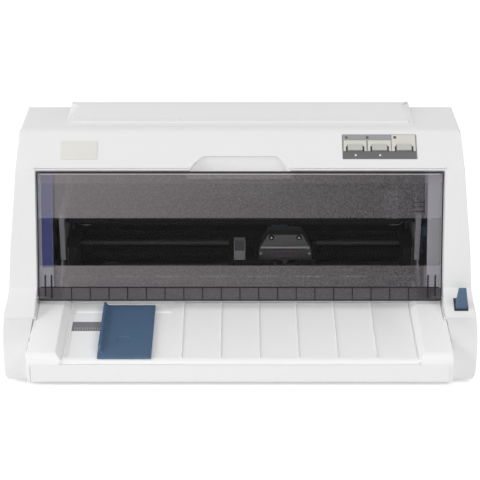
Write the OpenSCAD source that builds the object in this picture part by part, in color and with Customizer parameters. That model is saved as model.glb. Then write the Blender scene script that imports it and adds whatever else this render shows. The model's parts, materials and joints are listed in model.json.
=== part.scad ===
// Flat-bed dot matrix printer with a front paper table and a tinted, hinged window.
// Millimetres. X runs to the right, Y runs back, Z runs up from the floor.
// Every depth below is measured back from the front face of the tray.

/* [Case] */
// Width over the widest line of the case
body_w = 480; // [470:1:500]
// Depth from the tray's front face to the back
body_d = 370; // [364:1:400]
// Height of the flat top behind the brow
top_z = 205; // [200:1:215]
// Wall of the moulded case
wall = 2.6; // [2:0.1:3.2]
// Height of the widest line, where the two halves meet
part_z = 41; // [40:0.5:44]
// Gap under the case
foot_h = 4; // [3:0.5:6]
// Depth where the cheeks fold from front to slope
crease_y = 64; // [60:1:68]
// Height that the cheeks gain up to the foot of the pillars
cheek_rise = 18; // [14:1:20]
// Share of the room behind the tray that lies under the flat top
crest_share = 0.4925; // [0.466:0.0005:0.511]
// Slope of the back, degrees
back_a = 20; // [16:1:22]
// Running gap beside moving covers
cover_gap = 1.2; // [0.8:0.1:1.6]

/* [Window] */
// Width of the pillar at each side of the front opening
pillar_w = 32; // [30:0.5:36]
// Length of the window up its slope
win_len = 134.4; // [128:0.2:138]
// Lean of the window back from upright, degrees
win_lean = 16.9; // [14:0.1:19]
// Depth of the window's lower edge
win_y = 92; // [90:0.5:96]
// Height of the window's lower edge over the tray
win_gap = 9.5; // [9:0.1:12]
// Thickness of the window
win_t = 2.5; // [2:0.1:3]
// Radius of the window's hinge pins
win_pin_r = 1.8; // [1.5:0.1:2]
// Slope of the brow over the window, degrees from level
brow_a = 40; // [37:0.5:44]

/* [Tray] */
// Height of the tray's surface at its front edge
tray_z = 27; // [25:0.5:28]
// Slope of the tray, degrees
tray_a = 5.9; // [5:0.1:6.5]
// Depth of the tray, front to back
tray_d = 104; // [100:0.5:106]
// Thickness of the tray's deck
tray_t = 3; // [2.8:0.1:3.5]
// Width of each side ledge
ledge_w = 25; // [22:0.5:28]
// Height of the ledges over the deck
ledge_h = 5.3; // [4.5:0.1:6]
// Distance between the ribs of the tray
rib_pitch = 38.4; // [36:0.2:40]
// Width of the sliding edge guide
guide_w = 53; // [48:1:56]
// Distance of the edge guide at rest from the left side of the opening
guide_in = 68; // [66:1:72]
// Height of the edge guide's wall
guide_h = 6; // [4.5:0.1:6.4]

/* [Mechanism] */
// Share of the room behind the tray that lies in front of the platen's axis
platen_share = 0.2556; // [0.248:0.0004:0.264]
// Share of that room from the platen's axis to the rear roller's
rear_share = 0.203; // [0.195:0.001:0.21]
// Share of that room from the platen's axis to the feed motor's
motor_share = 0.3383; // [0.33:0.0007:0.345]
// Radius of the platen
platen_r = 13; // [12:0.1:13.5]
// Radius of the two feed rollers
feed_r = 8; // [7:0.1:8.5]
// Radius of the pressing rollers
pinch_r = 5; // [4:0.1:5.4]
// Radius of the carriage shaft
shaft_r = 6; // [5:0.1:6.5]
// Height of the carriage shaft
shaft_z = 60; // [59:0.5:62]
// Gap between each side frame and the side of the front opening
frame_in = 21; // [18:0.5:24]
// Thickness of the side frames
frame_t = 1.6; // [1.2:0.1:2]
// Place of the print head at rest
head_x = 48; // [40:1:56]
// Width of the print head at its base
head_w = 58; // [52:1:60]
// Running clearance of shafts in their bores
fit = 0.06; // [0.03:0.01:0.1]
// Radius of the carriage belt's pulleys
pulley_r = 9; // [8:0.1:9.5]
// Place of each tractor from the middle
tractor_x = 112; // [100:1:120]

/* [Controls] */
// Width of the control panel
panel_w = 75; // [70:1:80]
// Height of the control panel up the brow
panel_h = 28; // [26:0.5:30]
// Distance of the control panel from the right side of the front opening
panel_in = 28; // [20:1:36]
// Width of each key
key_w = 15; // [13:0.5:16]
// Distance of the release lever's middle from the front opening
lever_out = 17; // [15.5:0.5:18]
// Height of the release lever over the cheek
lever_h = 21; // [16:0.5:24]

/* [Hidden] */
$fn = 48;

body_hw = body_w / 2;
mouth_hw = body_hw - pillar_w;
frame_hw = mouth_hw - frame_in;
// room between the tray and the back of the case
room_d = body_d - tray_d;
crest_y = tray_d + room_d * crest_share;
platen_y = tray_d + room_d * platen_share;
guide_x = guide_in - mouth_hw;
panel_x = mouth_hw - panel_in - panel_w;
lever_x = mouth_hw + lever_out;
eps = 0.01;
floor_z = foot_h + wall;
bed_z = floor_z + 1.2;

// the tray's plane, the window's plane and the brow's plane
function deck_z(y) = tray_z + y * tan(tray_a);
win_z = deck_z(win_y) + win_gap;
function win_at(s) = [win_y + s * sin(win_lean), win_z + s * cos(win_lean)];
brow_0 = win_at(win_len);
brow_len = (top_z - brow_0[1]) / sin(brow_a);
function brow_at(s) = [brow_0[0] + s * cos(brow_a), brow_0[1] + s * sin(brow_a)];
brow_1 = brow_at(brow_len);
back_z = top_z - (body_d - crest_y) * tan(back_a);
foot_z = part_z + cheek_rise;
foot_y = win_y + (foot_z - win_z) * tan(win_lean);

// points of the case seen from the side, with a rounded brow and a bulging front
brow_round = 9;
function brow_arc(a) = [brow_1[0] + brow_round * tan(brow_a / 2) - brow_round * sin(a),
  top_z - brow_round + brow_round * cos(a)];
front_bulge = [[0, 0], [14, 2.4], [28, 6.6], [40, 12.4], [50, 20], [56, 28.5]];
side_points = concat(
  [for (p = front_bulge) [crease_y - p[0], part_z - p[1]]],
  [[crease_y - 58.5, foot_h], [body_d - 3, foot_h], [body_d, part_z],
   [body_d, back_z - 6], [body_d - 2, back_z - 1.4], [body_d - 6, back_z + 6 * tan(back_a)],
   [crest_y, top_z]],
  [for (a = [0 : brow_a / 4 : brow_a + eps]) brow_arc(a)],
  [brow_0, [foot_y, foot_z]]);

// how far the side draws in at each height, below and above the widest line
low_draft = [[11, foot_h], [8.6, foot_h + 5], [6.4, foot_h + 12], [3.6, foot_h + 22],
  [1.4, foot_h + 31], [0, part_z]];
high_draft = [[2.4, part_z + 11], [3.4, part_z + 29], [4.6, part_z + 54], [8.2, part_z + 92],
  [11.2, part_z + 127], [12.6, top_z - 14], [13.2, top_z - 3.5], [13.9, top_z - 1],
  [15.2, top_z]];
draft = concat(low_draft, high_draft);

// corners of the case seen from above, as [inset, distance from the front or back]
front_corner = [[9.4, 0], [7.6, 4.5], [6, 13], [4.2, 26], [2, 45], [0, 70]];
back_corner = [[0, 9], [1.2, 4.5], [4.5, 1.2], [9, 0]];
front_0 = crease_y - 59;

module from_front() { translate([0, -body_d / 2, 0]) children(); }
// side outlines lie in the YZ plane and run along X
module along_x(x0, x1) {
  translate([x0, 0, 0]) rotate([90, 0, 90]) linear_extrude(x1 - x0) children();
}
// front outlines lie in the XZ plane and run along Y
module along_y(y0, y1) {
  translate([0, y1, 0]) rotate([90, 0, 0]) linear_extrude(y1 - y0) children();
}
module both_sides() {
  children();
  mirror([1, 0, 0]) children();
}
// a round bar along X between two places
module bar_x(x0, x1, y, z, r, n = 48) {
  translate([x0, y, z]) rotate([0, 90, 0]) cylinder(r = r, h = x1 - x0, $fn = n);
}
module on_brow(x, s) {
  translate([x, brow_at(s)[0], brow_at(s)[1]]) rotate([brow_a, 0, 0]) children();
}
module on_window(s) {
  translate([0, win_at(s)[0], win_at(s)[1]]) rotate([90 - win_lean, 0, 0]) children();
}
module on_deck() { translate([0, 0, tray_z]) rotate([tray_a, 0, 0]) children(); }
module box(x0, x1, y0, y1, z0, z1) {
  translate([x0, y0, z0]) cube([x1 - x0, y1 - y0, z1 - z0]);
}
module rounded_rect(w, h, r) {
  hull() for (x = [-1, 1], y = [-1, 1])
    translate([x * (w / 2 - r), y * (h / 2 - r)]) circle(r = r, $fn = 24);
}

// ---- case ----
module plan_outline() {
  right = concat([for (c = front_corner) [body_hw - c[0], front_0 + c[1]]],
    [for (c = back_corner) [body_hw - c[0], body_d - c[1]]]);
  polygon(concat(right, [for (i = [len(right) - 1 : -1 : 0]) [-right[i][0], right[i][1]]]));
}
module front_outline() {
  right = [for (d = draft) [body_hw - d[0], d[1]]];
  polygon(concat(right, [for (i = [len(right) - 1 : -1 : 0]) [-right[i][0], right[i][1]]]));
}
// the whole case as one block, with every face moved in by t
module case_block(t) {
  intersection() {
    along_x(-body_hw, body_hw) offset(delta = -t) polygon(side_points);
    along_y(0, body_d) offset(delta = -t) front_outline();
    linear_extrude(top_z + 1) offset(delta = -t) plan_outline();
  }
}
module case_shell() {
  difference() {
    case_block(0);
    case_block(wall);
  }
}
// the room that the tray takes out of the case, wider in front of the crease
tray_hw = mouth_hw - 2;
skirt_hw = tray_hw + 3;
module tray_room() {
  room = [[-1, foot_h - 1], [-1, foot_h + 60], [win_y + 40, foot_h + 60],
    [win_y + 40, deck_z(win_y + 40) - tray_t - 8], [10, foot_h + 8], [10, foot_h - 1]];
  along_x(-tray_hw - 0.3, tray_hw + 0.3) polygon(room);
  both_sides() along_x(0, skirt_hw + 0.3) polygon([[-1, foot_h - 1], [-1, part_z + 20],
    [crease_y + 0.3, part_z + 20], [crease_y + 0.3, part_z - 12.6],
    [13, foot_h - 0.3], [13, foot_h - 1]]);
}

// places of the sockets in the back wall: [middle, width, height]
inlet_hole = [150, 28, 21];
rocker_hole = [112, 13.4, 21];
wide_hole = [-125, 62, 13];
small_hole = [-66, 12.5, 11.5];
socket_z = foot_h + 19;
back_y = body_d - 1.6;
lever_gap = 0.7;
lever_w = 12;
slot_y = crease_y + 9.4;
slot_d = 11;
foot_spots = [[mouth_hw - 10, crease_y - 4], [mouth_hw - 10, body_d - 50]];
screw_x = mouth_hw + 9;
screw_spots = [[screw_x, tray_d + 14], [screw_x, crest_y + 5], [screw_x, body_d - 22]];

// cooling slots under the power supply
cool_x = [for (i = [0 : 8]) frame_hw - 127 + i * 12];
cool_y0 = body_d - 100;
cool_y1 = body_d - 40;
module lower_case() {
  color("white") from_front() difference() {
    union() {
      difference() {
        intersection() {
          case_shell();
          box(-body_hw - 1, body_hw + 1, -1, body_d + 1, 0, part_z);
        }
        tray_room();
      }
      // front beam and rests under the tray
      box(-tray_hw, tray_hw, 10.4, 13, floor_z - wall, deck_z(10) - tray_t - 1);
      for (x = [-160 : 64 : 160])
        box(x - 1.2, x + 1.2, 13, win_y, floor_z - 1, deck_z(13) - tray_t - 0.4);
      both_sides() {
        // wall between the tray and the cheek
        box(tray_hw + 0.4, tray_hw + 2.8, crease_y + 0.4, 150, floor_z - 1, part_z);
        box(skirt_hw + 0.4, skirt_hw + 2.8, front_0 + 12, crease_y + 2.8, floor_z - 1,
          part_z - 9);
        for (p = screw_spots) translate([p[0], p[1], floor_z - 1])
          cylinder(r = 4.5, h = part_z - floor_z + 1);
      }
    }
    // sockets
    for (h = [inlet_hole, rocker_hole, wide_hole, small_hole])
      box(h[0] - h[1] / 2, h[0] + h[1] / 2, body_d - 12, body_d + 1, socket_z - h[2] / 2,
        socket_z + h[2] / 2);
    both_sides() {
      for (p = foot_spots) translate([p[0], p[1], foot_h - 1]) cylinder(r = 3 + fit, h = 4);
      for (p = screw_spots) translate([p[0], p[1], foot_h - 1]) {
        cylinder(r = 1.8, h = part_z);
        cylinder(r = 3.4, h = 4.2);
      }
    }
    // cooling slots in the floor
    for (x = cool_x) box(x, x + 4, cool_y0, cool_y1, foot_h - 1, floor_z + 0.5);
  }
}

scoop_hw = 52;
scoop_s = 17;
scoop_depth = 7;
// finger scoop over the window's edge, grown by t
module scoop(t) {
  intersection() {
    on_brow(0, 0) translate([0, 0, -scoop_depth - 8]) linear_extrude(scoop_depth + 10)
      offset(delta = t) polygon([[-scoop_hw, -3], [scoop_hw, -3], [scoop_hw - 2, 3],
        [scoop_hw - 6, 9], [scoop_hw - 12, 14.5], [scoop_hw - 18, scoop_s],
        [18 - scoop_hw, scoop_s], [12 - scoop_hw, 14.5], [6 - scoop_hw, 9],
        [2 - scoop_hw, 3]]);
    along_x(-scoop_hw - 5, scoop_hw + 5) translate(brow_0) rotate(brow_a)
      offset(delta = t) polygon([[-3, 2], [-3, -scoop_depth], [7, -scoop_depth],
        [13, -scoop_depth + 3], [scoop_s - 1, -1.5], [scoop_s, 2]]);
  }
}
win_hinge_s = 3.5;
win_hinge_in = 2.2;
win_axis = [win_at(win_hinge_s)[0] + win_hinge_in * cos(win_lean),
  win_at(win_hinge_s)[1] - win_hinge_in * sin(win_lean)];
inner_back = crest_y + 55;
hatch_hw = 168;
hatch_y0 = crest_y - 47;
hatch_y1 = body_d - 42;
paper_slot_hw = 150;
paper_slot_z = back_z - 42;
paper_slot_h = 20;
panel_s = brow_len * 0.58;

module upper_case() {
  color("white") from_front() difference() {
    union() {
      difference() {
        intersection() {
          case_shell();
          box(-body_hw - 1, body_hw + 1, -1, body_d + 1, part_z, top_z + 1);
        }
        // the mouth that the window closes, and the room over the tray
        intersection() {
          box(-mouth_hw, mouth_hw, -1, body_d, part_z - 1, top_z);
          on_window(0) box(-mouth_hw, mouth_hw, -60, win_len, -14, 60);
        }
      }
      // lip behind the window's upper edge
      on_window(win_len) box(-mouth_hw - 1, mouth_hw + 1, -3, 2, -9, -win_t - 0.5);
      on_window(win_len) box(-mouth_hw - 1, mouth_hw + 1, 0, 2, -9, -1);
      // inner walls of the pillars
      both_sides() intersection() {
        case_block(eps);
        box(mouth_hw, mouth_hw + wall, -1, inner_back, part_z, top_z);
      }
      difference() {
        intersection() {
          scoop(2.2);
          case_block(eps);
        }
        on_window(0) box(-mouth_hw, mouth_hw, -60, win_len + 0.2, -win_t - 0.6, 60);
      }
      // lugs of the rear cover's hinge
      both_sides() for (x = [barrel_x - 3.8, barrel_x + barrel_w + 0.3]) {
        bar_x(x, x + 3.5, cover_axis[0], cover_axis[1], barrel_r);
        box(x, x + 3.5, cover_axis[0] - 1.6, cover_axis[0] + 1.6,
          top_line(cover_axis[0]) - wall, cover_axis[1]);
      }
      // rim round the rear hatch
      intersection() {
        case_block(eps);
        difference() {
          box(-hatch_hw - 2, hatch_hw + 2, hatch_y0 - 2, hatch_y1 + 2, back_z - 2, top_z);
          box(-hatch_hw, hatch_hw, hatch_y0, hatch_y1, back_z - 3, top_z + 1);
          translate([0, 0, -9]) box(-body_hw, body_hw, 0, crest_y, 0, top_z);
          along_x(-body_hw, body_hw) polygon([[crest_y - 1, 0], [crest_y - 1, top_z - 9],
            [body_d, back_z - 9], [body_d, 0]]);
        }
      }
    }
    scoop(0);
    both_sides() bar_x(barrel_x - 5, barrel_x + barrel_w + 5, cover_axis[0], cover_axis[1],
      1.1 + fit);
    box(-hatch_hw, hatch_hw, hatch_y0, hatch_y1, back_z - 3, top_z + 1);
    // window hinge bores
    both_sides() bar_x(mouth_hw - 1, mouth_hw + wall + 1, win_axis[0], win_axis[1],
      win_pin_r + fit);
    // opening for the control panel
    on_brow(panel_x + panel_w / 2, panel_s) translate([0, 0, -6])
      linear_extrude(10) square([panel_w + 0.4, panel_h + 0.4], center = true);
    // slot of the release lever
    box(lever_x - lever_w / 2 - lever_gap, lever_x + lever_w / 2 + lever_gap, slot_y,
      slot_y + slot_d, part_z - 1, foot_z + 10);
    // slot where continuous paper enters from behind
    box(-paper_slot_hw, paper_slot_hw, body_d - 12, body_d + 1, paper_slot_z,
      paper_slot_z + paper_slot_h);
    // cooling slots in the back wall
    for (i = [0 : 10]) box(frame_hw - 127 + i * 9, frame_hw - 123 + i * 9, body_d - 12,
      body_d + 1, part_z + 12, part_z + 40);
  }
}

module rubber_feet() {
  color("dimgray") from_front() both_sides() for (p = foot_spots) translate([p[0], p[1], 0]) {
    rotate_extrude() polygon([[0, 0], [8.4, 0], [9, 0.8], [9, foot_h], [0, foot_h]]);
    translate([0, 0, foot_h]) cylinder(r = 3, h = wall + 1);
  }
}
module case_screws() {
  color("silver") from_front() both_sides() for (p = screw_spots)
    translate([p[0], p[1], foot_h]) difference() {
      union() {
        translate([0, 0, 0.9]) cylinder(r = 3.2, h = 2.2);
        translate([0, 0, 3.1]) cylinder(r = 1.7, h = part_z - foot_h - 6);
      }
      for (a = [0, 90]) rotate(a) translate([-2, -0.4, 0]) cube([4, 0.8, 1.9]);
    }
}
module base_plate() {
  color("silver") from_front() difference() {
    box(-frame_hw + 1, frame_hw - 1, 124, body_d - 18, floor_z, bed_z);
    for (x = cool_x) box(x, x + 4, cool_y0, cool_y1, floor_z - 1, bed_z + 1);
    for (i = [0 : 3]) translate([37 - frame_hw + i * 60, platen_y + 28, floor_z - 1])
      cylinder(r = 9, h = 4);
  }
}

// ---- tray ----
recess_x0 = guide_x - 30;
recess_x1 = guide_x + guide_w + 18;
recess_d = 0.8;
rail_y = 86;
rail_w = 3;
guide_back = 97;
lip = [[0, foot_h], [0, tray_z - 4.5], [0.8, tray_z - 2], [2.6, tray_z - 0.3],
  [6, deck_z(6)]];
ledge_nose = [[0.4, foot_h], [0.4, tray_z - 3], [1.6, tray_z + 1], [4.5, tray_z + 4],
  [9, deck_z(9) + ledge_h]];
module paper_tray() {
  color("whitesmoke") from_front() difference() {
    union() {
      difference() {
        union() {
          // deck and front
          along_x(-tray_hw, tray_hw) polygon(concat(lip, [[tray_d, deck_z(tray_d)],
            [tray_d, deck_z(tray_d) - tray_t], [6, deck_z(6) - tray_t],
            [3.4, tray_z - 5.5], [3.2, foot_h]]));
          // ledges with a sloping inner side
          both_sides() intersection() {
            along_x(0, skirt_hw) polygon(concat(ledge_nose,
              [[tray_d, deck_z(tray_d) + ledge_h], [tray_d, deck_z(tray_d) - tray_t],
               [6, deck_z(6) - tray_t], [3.4, tray_z - 5.5], [3.2, foot_h]]));
            union() {
              on_deck() along_y(-5, tray_d + 5) polygon([
                [tray_hw - ledge_w - 6, -tray_t], [tray_hw - ledge_w - 6, 0],
                [tray_hw - ledge_w, ledge_h], [tray_hw, ledge_h], [tray_hw, -tray_t]]);
              box(tray_hw - ledge_w - 4, tray_hw, -1, 4, 0, tray_z);
              box(tray_hw - 1, skirt_hw, -1, crease_y, 0, part_z + 9);
            }
          }
          // side skirts in front of the cheeks
          both_sides() along_x(skirt_hw - 2.4, skirt_hw) polygon(concat(ledge_nose,
            [[crease_y, deck_z(crease_y) + ledge_h], [crease_y, part_z - 12],
             [12, foot_h]]));
        }
        // shallow bay of the edge guide
        on_deck() box(recess_x0, recess_x1, 9, tray_d + 5, -recess_d, 9);
      }
      // ribs that the paper slides on
      for (i = [-5 : 4]) {
        x = (i + 0.5) * rib_pitch;
        if (abs(x) < tray_hw - ledge_w - 8 && (x > recess_x1 + 2 || x < recess_x0 - 2))
          on_deck() box(x - 0.8, x + 0.8, 6, tray_d, -0.5, 1);
      }
    }
    // guide rail groove
    on_deck() box(recess_x0 + 2, recess_x1 - 2, rail_y, rail_y + rail_w,
      -recess_d - 1.2, 9);
  }
}
module tray_scale() {
  color("gray") from_front() on_deck()
    box(recess_x0 + 0.3, guide_x + 20, tray_d - 50, tray_d - 34, -recess_d, -recess_d + 0.3);
}
module edge_guide() {
  color("steelblue") from_front() on_deck() {
    difference() {
      union() {
        box(guide_x, guide_x + guide_w, 4, guide_back, 0.2, 2.2);
        box(guide_x, guide_x + guide_w, 10, guide_back, -0.2, 1);
        along_x(guide_x, guide_x + 3) polygon([[12, 1], [20, guide_h],
          [guide_back, guide_h], [guide_back, 1]]);
        along_y(12, guide_back) polygon([[guide_x + 2, 1.5], [guide_x + 2, 4.8],
          [guide_x + 5.6, 2.1], [guide_x + 5.6, 1.5]]);
      }
      translate([guide_x + 24, 34, 1.6]) cylinder(r = 7, h = 4);
    }
    // tongue that runs in the groove
    box(guide_x + 6, guide_x + guide_w - 6, rail_y + 0.3, rail_y + rail_w - 0.3,
      -recess_d - 0.9, 1);
  }
}

// ---- window ----
win_hw = mouth_hw - cover_gap;
module window_panel() {
  color([0.25, 0.24, 0.27, 0.7]) from_front() difference() {
    union() {
      on_window(0) difference() {
        box(-win_hw, win_hw, 0, win_len - 0.8, -win_t, 0);
        both_sides() translate([win_hw, 0, -win_t - 1]) rotate(45)
          cube([4.2, 4.2, win_t * 2 + 2], center = true);
      }
      both_sides() bar_x(win_hw - 12, win_hw, win_axis[0], win_axis[1], 2.9);
      // stiffening webs along both ends
      on_window(0) both_sides() box(win_hw - 2.2, win_hw, 6, win_len - 14, -8, -win_t + 0.2);
    }
    both_sides() bar_x(win_hw - 9, win_hw + 1, win_axis[0], win_axis[1], win_pin_r);
  }
}
module window_pins() {
  color("silver") from_front() both_sides()
    bar_x(win_hw - 9, mouth_hw + wall - 0.4, win_axis[0], win_axis[1], win_pin_r);
}

// ---- rear cover ----
cover_rise = 5;
cover_hw = hatch_hw + 13;
cover_y0 = hatch_y0 - 11;
cover_y1 = hatch_y1 + 10;
function top_line(y) = y < crest_y ? top_z : top_z - (y - crest_y) * tan(back_a);
barrel_r = 2.2;
cover_axis = [cover_y1 + 2.8, top_line(cover_y1 + 2.8) + barrel_r + 0.4];
barrel_x = cover_hw - 40;
barrel_w = 24;
module rear_cover() {
  color("white") from_front() {
    difference() {
      intersection() {
        along_x(-cover_hw, cover_hw) polygon([
          [cover_y0, top_z + 0.3], [cover_y0 + cover_rise, top_z + cover_rise],
          [crest_y - 6, top_z + cover_rise], [crest_y + 6, top_line(crest_y + 4) + cover_rise],
          [cover_y1, top_line(cover_y1) + cover_rise], [cover_y1, top_line(cover_y1) + 0.3],
          [crest_y, top_z + 0.3]]);
        along_y(0, body_d) polygon([[-cover_hw, top_z - 80], [-cover_hw, top_z + 0.3],
          [cover_rise - cover_hw, top_z + cover_rise + 0.01], [cover_hw - cover_rise,
          top_z + cover_rise + 0.01], [cover_hw, top_z + 0.3], [cover_hw, top_z - 80]]);
      }
      // hollow underside
      along_x(-cover_hw + 6, cover_hw - 6) polygon([
        [cover_y0 + 8, top_z - 1], [cover_y0 + 8, top_z + cover_rise - 2.4],
        [crest_y - 6, top_z + cover_rise - 2.4],
        [crest_y + 6, top_line(crest_y + 4) + cover_rise - 2.4],
        [cover_y1 - 8, top_line(cover_y1 - 8) + cover_rise - 2.4],
        [cover_y1 - 8, top_line(cover_y1 - 8) - 1], [crest_y, top_z - 1]]);
    }
    // ribs that hang into the hatch
    both_sides() for (x = [60, 150]) along_x(x, x + 2) polygon([
      [hatch_y0 + 4, top_z - 5], [hatch_y0 + 4, top_z + 3], [crest_y - 6, top_z + 3],
      [crest_y + 6, top_line(crest_y + 4) + 3], [hatch_y1 - 30, top_line(hatch_y1 - 30) + 3],
      [hatch_y1 - 30, top_line(hatch_y1 - 30) - 3], [crest_y, top_z - 5]]);
    // hinge barrels with their pins
    both_sides() {
      bar_x(barrel_x, barrel_x + barrel_w, cover_axis[0], cover_axis[1], barrel_r);
      box(barrel_x, barrel_x + barrel_w, cover_y1 - 3, cover_axis[0], cover_axis[1] - 0.4,
        cover_axis[1] + 1.4);
      bar_x(barrel_x - 3.6, barrel_x + barrel_w + 3.6, cover_axis[0], cover_axis[1], 1.1);
    }
  }
}

// ---- control panel ----
key_pitch = panel_w / 3;
key_h = 6.8;
key_drop = panel_h / 2 - 12.6;
panel_mid = panel_x + panel_w / 2;
lamp_spots = [-33.6, -12.2, 16];
module panel_plate() {
  color("lightgray") from_front() on_brow(panel_mid, panel_s) difference() {
    union() {
      translate([0, 0, -2]) linear_extrude(2.4) square([panel_w, panel_h], center = true);
      translate([0, 0, -wall - 2.2]) linear_extrude(2)
        square([panel_w + 5, panel_h + 4], center = true);
    }
    for (i = [-1 : 1]) translate([i * key_pitch, -key_drop, -8]) linear_extrude(12)
      square([key_w + 0.6, key_h + 0.6], center = true);
    translate([0, 0, -wall - 3]) linear_extrude(wall + 1)
      square([panel_w - 4, panel_h - 4], center = true);
    for (x = lamp_spots) translate([x, panel_h / 2 - 3.4, -8]) cylinder(r = 1.3, h = 12);
  }
}
module panel_lamps() {
  color("limegreen") from_front() on_brow(panel_mid, panel_s) for (x = lamp_spots)
    translate([x, panel_h / 2 - 3.4, -9]) cylinder(r = 1.2, h = 9.6);
}
module panel_board() {
  color("darkgreen") from_front() on_brow(panel_mid, panel_s) difference() {
    union() {
      translate([0, 0, -10.6]) linear_extrude(1.6)
        square([panel_w - 5, panel_h - 2], center = true);
      for (i = [-1 : 1]) translate([i * key_pitch, -key_drop, -9]) cylinder(r = 2.4, h = 1.6);
    }
    for (x = [-1, 1]) translate([x * (panel_w / 2 - 5), -panel_h / 2 + 3, -12])
      cylinder(r = 1, h = 4);
  }
}
module key(i) {
  color("gainsboro") from_front() on_brow(panel_mid + i * key_pitch, panel_s)
    translate([0, -key_drop, 0]) {
      translate([0, 0, -3.4]) linear_extrude(5.6) rounded_rect(key_w, key_h, 0.8);
      translate([0, 0, -3.6]) linear_extrude(1.4)
        square([key_w + 2, key_h + 2], center = true);
    }
}
module key_left() { key(-1); }
module key_middle() { key(0); }
module key_right() { key(1); }
module name_plate() {
  color("linen") from_front() on_brow(43.5 - mouth_hw, brow_len * 0.49) linear_extrude(0.6)
    rounded_rect(37, 21, 1);
}
// bare label on the left inner wall, running back beside the window
module side_label() {
  color("steelblue") from_front() along_x(-mouth_hw, -mouth_hw + 0.4) polygon([
    [win_y + 72, part_z + 20], [win_y + 148, part_z + 20], [win_y + 190, part_z + 116],
    [win_y + 112, part_z + 116]]);
}

// ---- levers ----
lever_axis = [slot_y + 2.9, part_z - 11];
lever_foot = part_z + (slot_y + 2.9 - crease_y) * cheek_rise / (foot_y - crease_y);
module release_lever() {
  color("steelblue") from_front() difference() {
    union() {
      intersection() {
        along_x(lever_x - lever_w / 2, lever_x + lever_w / 2) polygon([
          [slot_y + 0.6, lever_axis[1]], [slot_y + 0.6, lever_foot + 3],
          [slot_y + 1.2, lever_foot + lever_h - 1], [slot_y + 2, lever_foot + lever_h],
          [slot_y + 3.6, lever_foot + lever_h], [slot_y + 4.6, lever_foot + lever_h - 1],
          [slot_y + 5.2, lever_foot + 3], [slot_y + 5.2, lever_axis[1]]]);
        along_y(0, body_d) polygon([
          [lever_x - lever_w / 2, 0], [lever_x - lever_w / 2, lever_foot + 3],
          [lever_x - 3.8, lever_foot + lever_h], [lever_x + 3.8, lever_foot + lever_h],
          [lever_x + lever_w / 2, lever_foot + 3], [lever_x + lever_w / 2, 0]]);
      }
      bar_x(lever_x - lever_w / 2, lever_x + lever_w / 2, lever_axis[0], lever_axis[1], 4);
    }
    bar_x(lever_x - lever_w, lever_x + lever_w, lever_axis[0], lever_axis[1], 2 + fit);
  }
}
module lever_pin() {
  color("silver") from_front() difference() {
    union() {
      bar_x(lever_x - 11, lever_x + 8, lever_axis[0], lever_axis[1], 2);
      for (x = [lever_x - 11, lever_x + 6.5]) {
        box(x, x + 1.5, lever_axis[0] - 3.6, lever_axis[0] + 3.6, lever_axis[1] - 6.4,
          lever_axis[1]);
        bar_x(x, x + 1.5, lever_axis[0], lever_axis[1], 3.6);
      }
      // yoke and foot
      box(lever_x - 11, lever_x + 8, lever_axis[0] - 3.6, lever_axis[0] + 3.6,
        lever_axis[1] - 6.4, lever_axis[1] - 4.8);
      box(lever_x - 11, lever_x - 4, lever_axis[0] - 3.6, lever_axis[0] + 3.6, floor_z,
        lever_axis[1] - 5);
    }
  }
}
th_axis = [platen_y + 10, shaft_z + 2];
th_x = frame_hw + frame_t + 1;
module lever_stud() {
  color("silver") from_front() bar_x(frame_hw + frame_t, th_x + 7, th_axis[0], th_axis[1], 3);
}
module thickness_lever() {
  color("steelblue") from_front() difference() {
    union() {
      bar_x(th_x, th_x + 6, th_axis[0], th_axis[1], 6);
      along_x(th_x + 1, th_x + 5) polygon([[th_axis[0] - 5, th_axis[1]],
        [th_axis[0] + 5, th_axis[1]], [th_axis[0] - 8, th_axis[1] + 30],
        [th_axis[0] - 15, th_axis[1] + 30]]);
      along_x(th_x, th_x + 8) polygon([[th_axis[0] - 15, th_axis[1] + 22],
        [th_axis[0] - 7, th_axis[1] + 22], [th_axis[0] - 8, th_axis[1] + 34],
        [th_axis[0] - 15, th_axis[1] + 34]]);
    }
    bar_x(th_x - 1, th_x + 9, th_axis[0], th_axis[1], 3 + fit);
  }
}

// ---- paper path ----
path_z = deck_z(platen_y - 22) + 0.4;
platen_z = path_z - platen_r;
front_y = platen_y - 32;
rear_y = platen_y + room_d * rear_share;
front_z = deck_z(front_y) + 0.4 - feed_r;
rear_z = path_z - feed_r;
front_top_z = front_z + feed_r + 0.7 + pinch_r;
rear_top_z = rear_z + feed_r + 0.7 + pinch_r;
motor_y = platen_y + room_d * motor_share;
motor_z = floor_z + 18;
motor_pulley_r = 6;
tractor_y = body_d - 52;
tractor_z = path_z + 53;
rod_y = tractor_y - 20;
tractor_pulley_r = 14;
axle_r = 3;
bush_r = 5;
table_back = platen_y - platen_r - 3;
roller_hw = frame_hw - 9;
shaft_y = platen_y + 32;
rail_top_z = shaft_z + 18;

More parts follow.
